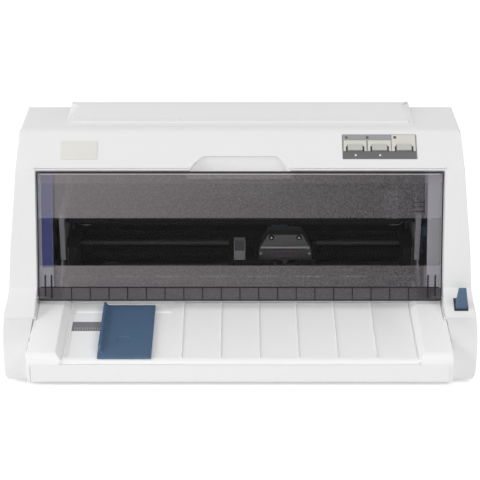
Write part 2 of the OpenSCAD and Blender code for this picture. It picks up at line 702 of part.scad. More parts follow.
// holes of the side frames: [depth, height, radius]
frame_holes = [[shaft_y, shaft_z, shaft_r], [platen_y, platen_z, bush_r],
  [front_y, front_z, bush_r], [rear_y, rear_z, bush_r],
  [tractor_y, tractor_z, bush_r], [rod_y, tractor_z, 4], [motor_y, motor_z, 9]];
module side_frame(x0) {
  color("silver") from_front() difference() {
    union() {
      along_x(x0, x0 + frame_t) polygon([[front_y - 12, bed_z],
        [front_y - 12, front_z + 16], [front_y + 10, front_z + 30],
        [front_y + 10, shaft_z + 58], [crest_y + 10, shaft_z + 62], [tractor_y + 16, tractor_z + 24],
        [tractor_y + 24, tractor_z + 12], [tractor_y + 24, bed_z]]);
      // folded front edge and foot
      box(min(x0, x0 + frame_t - 5), max(x0 + 5, x0 + frame_t), front_y + 10 - frame_t,
        front_y + 10, front_z + 32, shaft_z + 58);
    }
    for (h = frame_holes) bar_x(x0 - 6, x0 + 8, h[0], h[1], h[2]);
    bar_x(x0 - 6, x0 + 8, front_y, front_top_z, 2 + fit);
    bar_x(x0 - 6, x0 + 8, rear_y, rear_top_z, 2 + fit);
    box(x0 - 6, x0 + 8, rear_y + 21, tractor_y - 43, motor_z + 25.4, tractor_z - 5.9);
  }
}
module left_frame() { side_frame(-frame_hw - frame_t); }
module right_frame() { side_frame(frame_hw); }
module paper_table() {
  color("whitesmoke") from_front() {
    difference() {
      along_x(-frame_hw + 1.9, frame_hw - 1.9) polygon([
        [tray_d + 0.5, deck_z(tray_d + 0.5)], [table_back, deck_z(table_back)],
        [table_back, deck_z(table_back) - 2.4], [tray_d + 0.5, deck_z(tray_d + 0.5) - 2.4]]);
      box(-roller_hw - 3, roller_hw + 3, front_y - feed_r - 0.8, front_y + feed_r + 0.8,
        deck_z(front_y) - 8, deck_z(front_y) + 8);
    }
    for (i = [-9 : 9]) for (x = [i * (frame_hw - 14.2) / 9]) for (y = [[tray_d + 1,
      front_y - feed_r - 1],
      [front_y + feed_r + 1, table_back]])
      on_deck() box(x - 0.7, x + 0.7, y[0], y[1], -0.5, 0.9);
    // cross beam that carries the table
    both_sides() for (y = [[tray_d + 10, front_y - feed_r - 1],
      [front_y + feed_r + 1, table_back]])
      box(frame_hw - 5, frame_hw - 1.9, y[0], y[1], bed_z, deck_z(y[0]) - 1);
    box(-frame_hw + 1, frame_hw - 1, tray_d + 6, tray_d + 9, floor_z,
      deck_z(tray_d + 6) - 1);
  }
}
module rear_guide() {
  color("dimgray") from_front() difference() {
    along_x(-frame_hw + 1, frame_hw - 1) polygon([[rear_y + 12, path_z - 2],
      [rear_y + 24, path_z - 1.2], [rod_y - 14, tractor_z - 26], [rod_y - 6, tractor_z - 19],
      [rod_y - 4, tractor_z - 20.5], [rod_y - 12, tractor_z - 27.5],
      [rear_y + 25, path_z - 3.6], [rear_y + 12, path_z - 4.2]]);
    for (i = [-3 : 3]) for (x = [i * (frame_hw - 37) / 3])
      box(x - 8, x + 8, rear_y + 30, rod_y - 16, 0, top_z);
  }
}
module roller(y, z, r, pulley) {
  bar_x(-roller_hw, roller_hw, y, z, r);
  bar_x(-frame_hw - frame_t - 14, frame_hw + frame_t + 2.5, y, z, axle_r);
  // toothed pulley in the plane of the feed belt
  translate([-frame_hw - frame_t - 9.6, y, z]) rotate([0, 90, 0]) linear_extrude(5.6) difference() {
    circle(r = pulley - 0.6);
    for (i = [0 : 23]) rotate(i * 15) translate([pulley - 0.6, 0])
      circle(r = 0.45, $fn = 8);
  }
}
module platen() { color("black") from_front() roller(platen_y, platen_z, platen_r, platen_r); }
module front_roller() { color("dimgray") from_front() roller(front_y, front_z, feed_r, feed_r); }
module rear_roller() {
  color("dimgray") from_front() {
    roller(rear_y, rear_z, feed_r, feed_r);
    bar_x(-frame_hw - frame_t - 16, -frame_hw - frame_t - 11, rear_y, rear_z, feed_r - 0.6);
  }
}
module pinch(y, z) {
  bar_x(-frame_hw - frame_t - 1, frame_hw + frame_t + 1, y, z, 2);
  for (i = [-3 : 3]) for (x = [i * (frame_hw - 43) / 3]) bar_x(x - 9, x + 9, y, z, pinch_r);
}
module front_pinch() { color("gray") from_front() pinch(front_y, front_top_z); }
module rear_pinch() { color("gray") from_front() pinch(rear_y, rear_top_z); }
module roller_bushes() {
  color("goldenrod") from_front() for (h = [[platen_y, platen_z], [front_y, front_z],
    [rear_y, rear_z], [tractor_y, tractor_z]]) for (x = [-frame_hw - frame_t, frame_hw])
      difference() {
        union() {
          bar_x(x, x + frame_t, h[0], h[1], bush_r);
          bar_x(x < 0 ? x + frame_t : x - 1.5, x < 0 ? x + frame_t + 1.5 : x, h[0], h[1],
            bush_r + 1.5);
        }
        bar_x(x - 6, x + 6, h[0], h[1], axle_r + fit);
      }
}
// a belt round circles given as [depth, height, radius]
module belt_loop(stops, x0, w, t) {
  along_x(x0, x0 + w) difference() {
    offset(r = t) hull() for (s = stops) translate([s[0], s[1]]) circle(r = s[2]);
    hull() for (s = stops) translate([s[0], s[1]]) circle(r = s[2]);
  }
}
module feed_belt() {
  color("black") from_front() belt_loop([[front_y, front_z, feed_r],
    [platen_y, platen_z, platen_r], [rear_y, rear_z, feed_r],
    [motor_y, motor_z, motor_pulley_r]], -frame_hw - frame_t - 9.4, 5.2, 1.2);
}
module tractor_belt() {
  color("black") from_front() belt_loop([[rear_y, rear_z, feed_r],
    [tractor_y, tractor_z, tractor_pulley_r]], -frame_hw - frame_t - 15.8, 4.6, 1.2);
}
module feed_motor() {
  color("dimgray") from_front() difference() {
    union() {
      bar_x(-frame_hw + 0.4, -frame_hw + 34, motor_y, motor_z, 16.5);
      box(-frame_hw, -frame_hw + 1.6, motor_y - 22, motor_y + 22, motor_z - 14, motor_z + 14);
    }
    bar_x(-frame_hw - 1, -frame_hw + 20, motor_y, motor_z, 2 + fit);
    for (y = [-19, 19]) bar_x(-frame_hw - 1, -frame_hw + 4, motor_y + y, motor_z, 1.6);
  }
}
module motor_pulley() {
  color("silver") from_front() {
    bar_x(-frame_hw - frame_t - 12, -frame_hw + 19, motor_y, motor_z, 2);
    bar_x(-frame_hw - frame_t - 10, -frame_hw - frame_t - 3.6, motor_y, motor_z,
      motor_pulley_r - 0.6);
  }
}

// ---- tractors ----
module tractor_shaft() {
  color("silver") from_front() {
    bar_x(-frame_hw - frame_t - 17, frame_hw + frame_t + 2.5, tractor_y, tractor_z, axle_r);
    bar_x(-frame_hw - frame_t - 16, -frame_hw - frame_t - 11, tractor_y, tractor_z,
      tractor_pulley_r - 0.6);
  }
}
module tractor_rod() {
  color("silver") from_front()
    bar_x(-frame_hw - frame_t - 2, frame_hw + frame_t + 2, rod_y, tractor_z, 4);
}
tractor_w = 16;
module tractor(x) {
  color("darkslategray") from_front() difference() {
    union() {
      along_x(x - tractor_w / 2, x + tractor_w / 2) hull() {
        translate([tractor_y + 2, tractor_z]) circle(r = 11);
        translate([rod_y - 12, tractor_z]) circle(r = 11);
      }
      // pins that take the paper's edge holes
      for (i = [0 : 3]) translate([x, rod_y - 10 + i * 12.7, tractor_z + 10])
        cylinder(r1 = 1.9, r2 = 1.2, h = 3, $fn = 16);
      // clamp knob
      bar_x(x - tractor_w / 2 - 3, x - tractor_w / 2 + 1, rod_y - 14, tractor_z, 4);
    }
    bar_x(x - 20, x + 20, tractor_y, tractor_z, axle_r + 0.1);
    bar_x(x - 20, x + 20, rod_y, tractor_z, 4 + 0.1);
  }
}
module left_tractor() { tractor(-tractor_x); }
module right_tractor() { tractor(tractor_x); }
flap_z = tractor_z + 13.6;
module flap(x, side) {
  color("slategray") from_front() difference() {
    union() {
      box(x - tractor_w / 2, x + tractor_w / 2, rod_y - 20, tractor_y + 8, flap_z,
        flap_z + 2);
      translate([x + side * (tractor_w / 2 + 1.4), rod_y - 20, flap_z + 0.6])
        rotate([-90, 0, 0]) cylinder(r = 1.6, h = tractor_y - rod_y + 28);
      box(x + side * tractor_w / 2 - 1.5, x + side * tractor_w / 2 + 1.5, rod_y - 20,
        tractor_y + 8, flap_z, flap_z + 1.4);
    }
    box(x - 2.6, x + 2.6, rod_y - 14, tractor_y + 6, flap_z - 1, flap_z + 3);
  }
}
module left_flap() { flap(-tractor_x, -1); }
module right_flap() { flap(tractor_x, 1); }

// ---- carriage ----
carriage_x0 = head_x - head_w / 2 - 31;
carriage_x1 = head_x + head_w / 2 + 5;
sill_z = shaft_z - 10;
seat_z = sill_z + 6.5;
head_y = platen_y - 6;
head_d = 25;
ribbon_z = path_z + 1;
belt_z = rail_top_z + 8;
belt_w = 6;
module carriage_shaft() {
  color("silver") from_front()
    bar_x(-frame_hw - frame_t - 1, frame_hw + frame_t + 1, shaft_y, shaft_z, shaft_r);
}
module guide_rail() {
  color("silver") from_front() {
    box(-frame_hw, frame_hw, shaft_y + 16, shaft_y + 44, rail_top_z, rail_top_z + 2);
    box(-frame_hw, frame_hw, shaft_y + 42, shaft_y + 44, rail_top_z, rail_top_z + 16);
  }
}
module carriage() {
  color([0.13, 0.13, 0.14]) from_front() difference() {
    union() {
      box(carriage_x0, carriage_x1, head_y + head_d + 0.5, shaft_y + 9.5, sill_z,
        shaft_z + 9.5);
      box(carriage_x0, carriage_x1, head_y - 3, head_y + head_d + 1, sill_z, seat_z);
      // arm and fork that hold the guide rail
      box(head_x - 16, head_x + 16, shaft_y - 3, shaft_y + 9.5, shaft_z + 9, rail_top_z + 6);
      box(head_x - 16, head_x + 16, shaft_y + 9, shaft_y + 21, rail_top_z - 3,
        rail_top_z - 0.3);
      box(head_x - 16, head_x + 16, shaft_y + 9, shaft_y + 21, rail_top_z + 2.3,
        rail_top_z + 6);
      // belt clamp
      box(head_x - 8, head_x + 8, shaft_y - 12, shaft_y - 2, rail_top_z - 4,
        belt_z + belt_w + 2);
      // cheeks beside the head
      for (x = [head_x - head_w / 2 - 3, head_x + head_w / 2 + 0.6])
        box(x, x + 2.4, head_y + 4, head_y + head_d + 1, seat_z - 1, seat_z + 12);
    }
    box(head_x - 12, head_x + 12, head_y - 4, head_y + 15, sill_z - 1, seat_z + 0.01);
    bar_x(carriage_x0 - 1, carriage_x0 + 16, shaft_y, shaft_z, shaft_r + 2.5);
    bar_x(carriage_x1 - 16, carriage_x1 + 1, shaft_y, shaft_z, shaft_r + 2.5);
    bar_x(carriage_x0 - 1, carriage_x1 + 1, shaft_y, shaft_z, shaft_r + 0.6);
    box(head_x - 9, head_x + 9, shaft_y - pulley_r - 1.6, shaft_y - pulley_r + 0.4,
      belt_z - 0.5, belt_z + belt_w + 3);
  }
}
module carriage_bushes() {
  color("goldenrod") from_front() for (x = [carriage_x0, carriage_x1 - 16]) difference() {
    bar_x(x, x + 16, shaft_y, shaft_z, shaft_r + 2.5);
    bar_x(x - 1, x + 17, shaft_y, shaft_z, shaft_r + fit);
  }
}
module print_head() {
  color("lightslategray") from_front() {
    difference() {
      along_y(head_y, head_y + head_d) polygon([
        [head_x - head_w / 2, seat_z], [head_x - head_w / 2, seat_z + 11],
        [head_x - 22, seat_z + 16], [head_x - 15, seat_z + 37],
        [head_x + 15, seat_z + 37], [head_x + 22, seat_z + 16],
        [head_x + head_w / 2, seat_z + 11], [head_x + head_w / 2, seat_z]]);
      for (z = [17 : 4 : 34]) box(head_x - 24, head_x + 24, head_y + 6, head_y + head_d + 1,
        seat_z + z, seat_z + z + 1.8);
      for (x = [-15.4, 15.4]) translate([head_x + x, head_y - 1, seat_z + 24])
        rotate([-90, 0, 0]) cylinder(r = 1.6, h = 6);
    }
    // nose over the platen
    translate([head_x, platen_y, 0]) {
      translate([0, 0, sill_z - 1]) cylinder(r = 5.4, h = seat_z - sill_z + 2);
      translate([0, 0, ribbon_z + 0.9]) cylinder(r1 = 3, r2 = 5.4, h = sill_z - ribbon_z - 1.9);
    }
  }
}
module head_screws() {
  color("silver") from_front() for (x = [-15.4, 15.4])
    translate([head_x + x, head_y, seat_z + 24]) rotate([90, 0, 0]) {
      difference() {
        cylinder(r = 2.8, h = 1.6);
        translate([-2, -0.4, 0.9]) cube([4, 0.8, 1]);
      }
      translate([0, 0, -5]) cylinder(r = 1.6, h = 5);
    }
}
module edge_sensor() {
  color("gainsboro") from_front()
    box(carriage_x0 + 2, carriage_x0 + 14, head_y + 1, head_y + 16, seat_z, seat_z + 20);
}
pulley_x = frame_hw - 21;
module wheel_z(x) {
  translate([x, shaft_y, belt_z - 0.8]) difference() {
    union() {
      cylinder(r = pulley_r - 0.2, h = belt_w + 1.6);
      cylinder(r = pulley_r + 1.4, h = 0.7);
      translate([0, 0, belt_w + 0.9]) cylinder(r = pulley_r + 1.4, h = 0.7);
    }
    translate([0, 0, -1]) cylinder(r = 2 + fit, h = belt_w + 4);
  }
}
module belt_pulley() { color("silver") from_front() wheel_z(pulley_x); }
module belt_idler() { color("silver") from_front() wheel_z(-pulley_x); }
module carriage_belt() {
  color("black") from_front() translate([0, 0, belt_z]) linear_extrude(belt_w) difference() {
    hull() for (x = [-1, 1]) translate([x * pulley_x, shaft_y]) circle(r = pulley_r + 1.1);
    hull() for (x = [-1, 1]) translate([x * pulley_x, shaft_y]) circle(r = pulley_r);
  }
}
deck_top = belt_z + belt_w + 2.4;
module motor_bracket() {
  color("silver") from_front() {
    for (s = [-1, 1]) {
      box(min(s * (pulley_x - 24), s * frame_hw), max(s * (pulley_x - 24), s * frame_hw),
        shaft_y - 22, shaft_y + 24, deck_top, deck_top + 1.6);
      translate([s * pulley_x, shaft_y, belt_z - 2]) cylinder(r = 2, h = deck_top - belt_z + 3);
    }
  }
}
module carriage_motor() {
  color("dimgray") from_front() difference() {
    union() {
      translate([pulley_x, shaft_y, deck_top + 1.6]) cylinder(r = 20, h = 34);
      translate([pulley_x, shaft_y, deck_top + 35]) cylinder(r = 7, h = 3);
    }
    translate([pulley_x - 16, shaft_y, deck_top + 1]) cylinder(r = 1.6, h = 6);
  }
}

// ---- ribbon ----
ink_z = shaft_z - 3.6;
ink_y0 = shaft_y + 10.6;
ink_y1 = rear_y + 24;
module ribbon_cartridge() {
  color([0.12, 0.12, 0.13]) from_front() difference() {
    union() {
      box(-frame_hw + 5, frame_hw - 5, ink_y0, ink_y1, ink_z, ink_z + 13);
      both_sides() {
        // arm over the shaft and finger down beside the platen
        along_x(frame_hw - 15, frame_hw - 5) polygon([
          [ink_y0 + 1, ink_z + 4], [ink_y0 + 1, ink_z + 13], [ink_y0 - 4, shaft_z + 13],
          [platen_y - 8, shaft_z + 13], [platen_y - 14, shaft_z + 8],
          [platen_y - 14, ribbon_z - 0.2], [platen_y + 10, ribbon_z - 0.2],
          [platen_y + 10, shaft_z + 7.5], [ink_y0 - 4, shaft_z + 7.5], [ink_y0, ink_z + 4]]);
      }
      // the inked ribbon, stretched between the two fingers
      box(-frame_hw + 14, frame_hw - 14, platen_y - 6, platen_y + 6, ribbon_z,
        ribbon_z + 0.5);
    }
    translate([-111, ink_y0 + 20, ink_z + 9]) cylinder(r = 2 + fit, h = 10);
  }
}
module ribbon_knob() {
  color("dimgray") from_front() translate([-111, ink_y0 + 20, ink_z]) {
    translate([0, 0, 9.2]) cylinder(r = 2, h = 5);
    translate([0, 0, 13.4]) linear_extrude(6) difference() {
      circle(r = 9);
      for (i = [0 : 11]) rotate(i * 30) translate([9.4, 0]) circle(r = 1.4, $fn = 16);
    }
  }
}

// ---- boards and sockets ----
board_y0 = motor_y + 4;
board_y1 = body_d - 26;
main_board = [47 - frame_hw, frame_hw / 9];
power_board = [frame_hw / 9 + 19, frame_hw - 17];
module electronics() {
  color("darkgreen") from_front() {
    for (b = [main_board, power_board]) {
      box(b[0], b[1], board_y0, board_y1, bed_z + 6, bed_z + 7.6);
      for (x = [b[0] + 6, b[1] - 6], y = [board_y0 + 6, board_y1 - 6])
        translate([x, y, bed_z]) cylinder(r = 3, h = 6.2);
    }
    // chips and plugs of the main board
    translate([main_board[0], board_y0, bed_z + 7.5]) for (p = [[20, 14, 30, 12],
      [60, 14, 22, 22], [100, 12, 30, 12], [100, 34, 30, 10], [22, 40, 26, 10]])
      translate([p[0], p[1], 0]) cube([p[2], p[3], 3]);
    // transformer, heat sink and capacitors of the power supply
    translate([power_board[0], board_y0, bed_z + 7.5]) {
      translate([16, 10, 0]) cube([36, 32, 26.5]);
      translate([64, 8, 0]) cube([4, 52, 22.5]);
      for (y = [18, 44]) translate([94, y, 0]) cylinder(r = 10, h = 24);
    }
  }
}
module socket_body(h, depth, hole_w, hole_h) {
  difference() {
    union() {
      box(h[0] - h[1] / 2 + 0.1, h[0] + h[1] / 2 - 0.1, back_y - depth, back_y + 0.4,
        socket_z - h[2] / 2 + 0.1, socket_z + h[2] / 2 - 0.1);
      box(h[0] - h[1] / 2 - 2.5, h[0] + h[1] / 2 + 2.5, body_d - wall - 5,
        body_d - wall - 2.4, socket_z - h[2] / 2 + 0.2, socket_z + h[2] / 2 - 0.2);
    }
    box(h[0] - hole_w / 2, h[0] + hole_w / 2, back_y - depth + 2, body_d + 1,
      socket_z - hole_h / 2, socket_z + hole_h / 2);
  }
}
module sockets() {
  color([0.15, 0.15, 0.16]) from_front() {
    socket_body(inlet_hole, 24, 22, 15);
    for (x = [-6, 0, 6]) box(inlet_hole[0] + x - 1, inlet_hole[0] + x + 1, back_y - 23,
      back_y - 5, socket_z - 2, socket_z + 2);
    socket_body(wide_hole, 14, wide_hole[1] - 6, wide_hole[2] - 5);
    socket_body(small_hole, 16, 8.4, 8);
    // frame round the power rocker
    difference() {
      box(rocker_hole[0] - 6.6, rocker_hole[0] + 6.6, back_y - 20, back_y + 0.4,
        socket_z - 10.4, socket_z + 10.4);
      box(rocker_hole[0] - 5, rocker_hole[0] + 5, back_y - 18, body_d + 1, socket_z - 9,
        socket_z + 9);
    }
    bar_x(rocker_hole[0] - 5.5, rocker_hole[0] + 5.5, back_y - 7, socket_z, 1.2);
  }
}
module power_rocker() {
  color("dimgray") from_front() difference() {
    along_x(rocker_hole[0] - 4.6, rocker_hole[0] + 4.6) polygon([
      [back_y - 10, socket_z - 5], [back_y - 1, socket_z - 8], [back_y + 1.2, socket_z - 7.6],
      [back_y - 0.6, socket_z], [back_y + 1.2, socket_z + 7.6], [back_y - 1, socket_z + 8],
      [back_y - 10, socket_z + 5]]);
    bar_x(rocker_hole[0] - 6, rocker_hole[0] + 6, back_y - 7, socket_z, 1.2 + fit);
  }
}

lower_case();
upper_case();
rubber_feet();
case_screws();
base_plate();
paper_tray();
tray_scale();
edge_guide();
window_panel();
window_pins();
rear_cover();
panel_plate();
panel_lamps();
panel_board();
key_left();
key_middle();
key_right();
name_plate();
side_label();
release_lever();
lever_pin();
thickness_lever();
lever_stud();
left_frame();
right_frame();
paper_table();
rear_guide();
platen();
front_roller();
rear_roller();
front_pinch();
rear_pinch();
roller_bushes();
feed_belt();
feed_motor();
motor_pulley();
tractor_belt();
tractor_shaft();
tractor_rod();
left_tractor();
right_tractor();
left_flap();
right_flap();
carriage_shaft();
guide_rail();
carriage();
carriage_bushes();
print_head();
head_screws();
edge_sensor();
belt_pulley();
belt_idler();
carriage_belt();
motor_bracket();
carriage_motor();
ribbon_cartridge();
ribbon_knob();
electronics();
sockets();
power_rocker();
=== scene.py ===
# Looks of a flat-bed dot matrix printer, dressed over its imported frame. Metres.
import json
import math

import bmesh
import bpy
from mathutils import Matrix, Vector


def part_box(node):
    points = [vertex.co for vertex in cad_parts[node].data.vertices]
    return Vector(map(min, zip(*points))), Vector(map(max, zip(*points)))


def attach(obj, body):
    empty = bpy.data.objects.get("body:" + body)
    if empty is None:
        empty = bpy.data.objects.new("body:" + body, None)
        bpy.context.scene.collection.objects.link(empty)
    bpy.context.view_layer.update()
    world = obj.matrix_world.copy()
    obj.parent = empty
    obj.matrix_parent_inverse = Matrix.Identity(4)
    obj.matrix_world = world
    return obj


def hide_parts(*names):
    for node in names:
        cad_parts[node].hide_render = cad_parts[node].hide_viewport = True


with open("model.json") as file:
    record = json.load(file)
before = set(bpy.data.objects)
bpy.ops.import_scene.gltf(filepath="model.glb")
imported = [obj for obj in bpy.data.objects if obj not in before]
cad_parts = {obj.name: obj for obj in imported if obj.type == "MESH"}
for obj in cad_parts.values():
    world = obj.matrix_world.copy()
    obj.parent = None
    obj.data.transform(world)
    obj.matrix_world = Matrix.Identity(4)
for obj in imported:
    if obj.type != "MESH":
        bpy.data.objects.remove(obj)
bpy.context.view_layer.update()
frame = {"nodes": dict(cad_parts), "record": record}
NODES = frame["nodes"]

# the case's main planes, as the frame has them; depths run from the tray's front face
FRONT = -0.185
WIN_LEAN = math.radians(16.9)
BROW_TILT = math.radians(40)
DECK_TILT = math.radians(5.9)
WIN_FOOT = Vector((0, FRONT + 0.092, 0.046007))
WIN_LENGTH = 0.1344
BROW_FOOT = Vector((0, FRONT + 0.13107, 0.174603))
BROW_LENGTH = 0.0473
DECK_FOOT = Vector((0, FRONT, 0.027))
# the clear band and the rib line of the window, measured up its slope
CLEAR_FROM = 0.0365
CLEAR_TO = 0.086
RIB_LINE = 0.0142
# how far out the side frames stand, past which the window shows the case's inner walls
FRAME_OUT = 0.1880

# ---------------------------------------------------------------- camera and light
camera_data = bpy.data.cameras.new("camera")
camera_data.lens = 112.5
camera_data.sensor_width = 36
camera = bpy.data.objects.new("camera", camera_data)
camera.location = (0, -1.462, 0.7535)
camera.rotation_euler = (math.radians(65), 0, 0)
bpy.context.scene.collection.objects.link(camera)
bpy.context.scene.camera = camera
bpy.context.scene.view_settings.view_transform = "Standard"


def soft_lamp(name, place, aim, size, power):
    lamp = bpy.data.lights.new(name, "AREA")
    lamp.shape = "DISK"
    lamp.size = size
    lamp.energy = power
    holder = bpy.data.objects.new(name, lamp)
    holder.location = place
    holder.rotation_euler = (Vector(aim) - Vector(place)).to_track_quat("-Z", "Y").to_euler()
    bpy.context.scene.collection.objects.link(holder)


soft_lamp("left_lamp", (-2.2, -0.4, 0.9), (0, 0, 0.1), 1.4, 28)
soft_lamp("front_lamp", (0, -2.4, 0.5), (0, 0, 0.1), 1.4, 7.6)
soft_lamp("right_lamp", (1.5, -0.9, 1.8), (0, 0, 0.1), 1.4, 13)


# ---------------------------------------------------------------- shading effects
def put(tree, kind, **settings):
    node = tree.nodes.new(kind)
    for key, value in settings.items():
        setattr(node, key, value)
    return node


def maths(tree, operation, a, b=None, clamp=False):
    node = put(tree, "ShaderNodeMath", operation=operation, use_clamp=clamp)
    for socket, value in zip(node.inputs, (a, b)):
        if value is None:
            continue
        if hasattr(value, "is_output"):
            tree.links.new(value, socket)
        else:
            socket.default_value = value
    return node.outputs[0]


def blend_colours(tree, mask, first, second):
    node = put(tree, "ShaderNodeMix", data_type="RGBA")
    for socket, value in ((node.inputs["Factor"], mask), (node.inputs[6], first),
                          (node.inputs[7], second)):
        if hasattr(value, "is_output"):
            tree.links.new(value, socket)
        else:
            socket.default_value = value
    return node.outputs[2]


def effect(name, numbers, results):
    """An empty effect with named number inputs and named outputs."""
    tree = bpy.data.node_groups.new(name, "ShaderNodeTree")
    for label, value in numbers:
        socket = tree.interface.new_socket(label, in_out="INPUT",
                                           socket_type="NodeSocketFloat")
        socket.default_value = value
    for label in results:
        tree.interface.new_socket(label, in_out="OUTPUT", socket_type="NodeSocketFloat")
    return tree, put(tree, "NodeGroupInput"), put(tree, "NodeGroupOutput")


def make_grain():
    """Spark-eroded grain of a mould, with a slow drift in tone."""
    tree, given, result = effect("moulded grain", [("Scale", 900), ("Drift Scale", 14)],
                                 ["Height", "Drift"])
    place = put(tree, "ShaderNodeTexCoord").outputs["Object"]
    fine = put(tree, "ShaderNodeTexNoise")
    fine.inputs["Detail"].default_value = 3
    slow = put(tree, "ShaderNodeTexNoise")
    slow.inputs["Detail"].default_value = 4
    for node, socket in ((fine, "Scale"), (slow, "Drift Scale")):
        tree.links.new(place, node.inputs["Vector"])
        tree.links.new(given.outputs[socket], node.inputs["Scale"])
    tree.links.new(fine.outputs["Fac"], result.inputs["Height"])
    tree.links.new(slow.outputs["Fac"], result.inputs["Drift"])
    return tree


def make_edge_wear():
    """Where hands and paper rub: along edges, broken up by noise."""
    tree, given, result = effect("rubbed edges", [("Width", 0.0008), ("Amount", 0.5)],
                                 ["Mask"])
    rounded = put(tree, "ShaderNodeBevel", samples=4)
    tree.links.new(given.outputs["Width"], rounded.inputs["Radius"])
    flat = put(tree, "ShaderNodeNewGeometry").outputs["Normal"]
    dot = put(tree, "ShaderNodeVectorMath", operation="DOT_PRODUCT")
    tree.links.new(rounded.outputs["Normal"], dot.inputs[0])
    tree.links.new(flat, dot.inputs[1])
    bend = maths(tree, "SUBTRACT", 1.0, dot.outputs["Value"], clamp=True)
    patchy = put(tree, "ShaderNodeTexNoise")
    patchy.inputs["Scale"].default_value = 130
    tree.links.new(put(tree, "ShaderNodeTexCoord").outputs["Object"],
                   patchy.inputs["Vector"])
    strong = maths(tree, "MULTIPLY", bend, 5.0, clamp=True)
    broken = maths(tree, "MULTIPLY", strong, patchy.outputs["Fac"])
    tree.links.new(maths(tree, "MULTIPLY", broken, given.outputs["Amount"], clamp=True),
                   result.inputs["Mask"])
    return tree


def make_dust():
    """Dust that settles on faces that look up."""
    tree, given, result = effect("settled dust", [("Amount", 0.2)], ["Mask"])
    up = put(tree, "ShaderNodeSeparateXYZ")
    tree.links.new(put(tree, "ShaderNodeNewGeometry").outputs["Normal"], up.inputs[0])
    cloud = put(tree, "ShaderNodeTexNoise")
    cloud.inputs["Scale"].default_value = 60
    cloud.inputs["Detail"].default_value = 6
    tree.links.new(put(tree, "ShaderNodeTexCoord").outputs["Object"],
                   cloud.inputs["Vector"])
    facing = maths(tree, "MULTIPLY", up.outputs["Z"], cloud.outputs["Fac"], clamp=True)
    tree.links.new(maths(tree, "MULTIPLY", facing, given.outputs["Amount"], clamp=True),
                   result.inputs["Mask"])
    return tree


def make_brushed():
    """Drawing and turning lines that run along X in steel parts."""
    tree, given, result = effect("drawn lines", [("Scale", 260)], ["Height", "Streak"])
    place = put(tree, "ShaderNodeMapping")
    place.inputs["Scale"].default_value = (0.05, 1, 1)
    tree.links.new(put(tree, "ShaderNodeTexCoord").outputs["Object"],
                   place.inputs["Vector"])
    lines = put(tree, "ShaderNodeTexNoise")
    lines.inputs["Detail"].default_value = 5
    tree.links.new(place.outputs[0], lines.inputs["Vector"])
    tree.links.new(given.outputs["Scale"], lines.inputs["Scale"])
    tree.links.new(lines.outputs["Fac"], result.inputs["Height"])
    tree.links.new(maths(tree, "POWER", lines.outputs["Fac"], 2.0), result.inputs["Streak"])
    return tree


GRAIN = make_grain()
EDGE_WEAR = make_edge_wear()
DUST = make_dust()
DRAWN = make_brushed()


def raise_skin(tree, skin, height, strength, distance):
    """Lets a height raise the skin a little."""
    bump = put(tree, "ShaderNodeBump")
    bump.inputs["Strength"].default_value = strength
    bump.inputs["Distance"].default_value = distance
    tree.links.new(height, bump.inputs["Height"])
    tree.links.new(bump.outputs["Normal"], skin.inputs["Normal"])


def use_effect(tree, group, **numbers):
    node = put(tree, "ShaderNodeGroup", node_tree=group)
    for label, value in numbers.items():
        node.inputs[label.replace("_", " ")].default_value = value
    return node


def new_material(name):
    material = bpy.data.materials.new(name)
    material.use_nodes = True
    tree = material.node_tree
    return material, tree, tree.nodes["Principled BSDF"]


def rgb(red, green, blue):
    """A colour as read off a screen, 0 to 255, as linear light."""
    def linear(c):
        c /= 255
        return c / 12.92 if c <= 0.04045 else ((c + 0.055) / 1.055) ** 2.4
    return (linear(red), linear(green), linear(blue), 1)


def moulded(name, colour, rough, grain=900, relief=0.06, rub=(0.3, 1.12), dust=0.0,
            drift=0.05, coat=0.0, shine=0.5):
    """A moulded plastic: grain, a slow drift in tone, rubbed edges and some dust."""
    material, tree, skin = new_material(name)
    grained = use_effect(tree, GRAIN, Scale=grain)
    darker = tuple(c * (1 - drift) for c in colour[:3]) + (1,)
    tone = blend_colours(tree, grained.outputs["Drift"], colour, darker)
    if rub:
        rubbed = use_effect(tree, EDGE_WEAR, Amount=rub[0])
        paler = tuple(min(1, c * rub[1] + 0.01) for c in colour[:3]) + (1,)
        tone = blend_colours(tree, rubbed.outputs["Mask"], tone, paler)
    if dust:
        settled = use_effect(tree, DUST, Amount=dust)
        tone = blend_colours(tree, settled.outputs["Mask"], tone, rgb(176, 172, 166))
    tree.links.new(tone, skin.inputs["Base Color"])
    spread = maths(tree, "MULTIPLY", grained.outputs["Height"], 0.12)
    tree.links.new(maths(tree, "ADD", spread, rough - 0.06), skin.inputs["Roughness"])
    raise_skin(tree, skin, grained.outputs["Height"], relief, 0.0004)
    skin.inputs["Coat Weight"].default_value = coat
    skin.inputs["Specular IOR Level"].default_value = shine
    return material


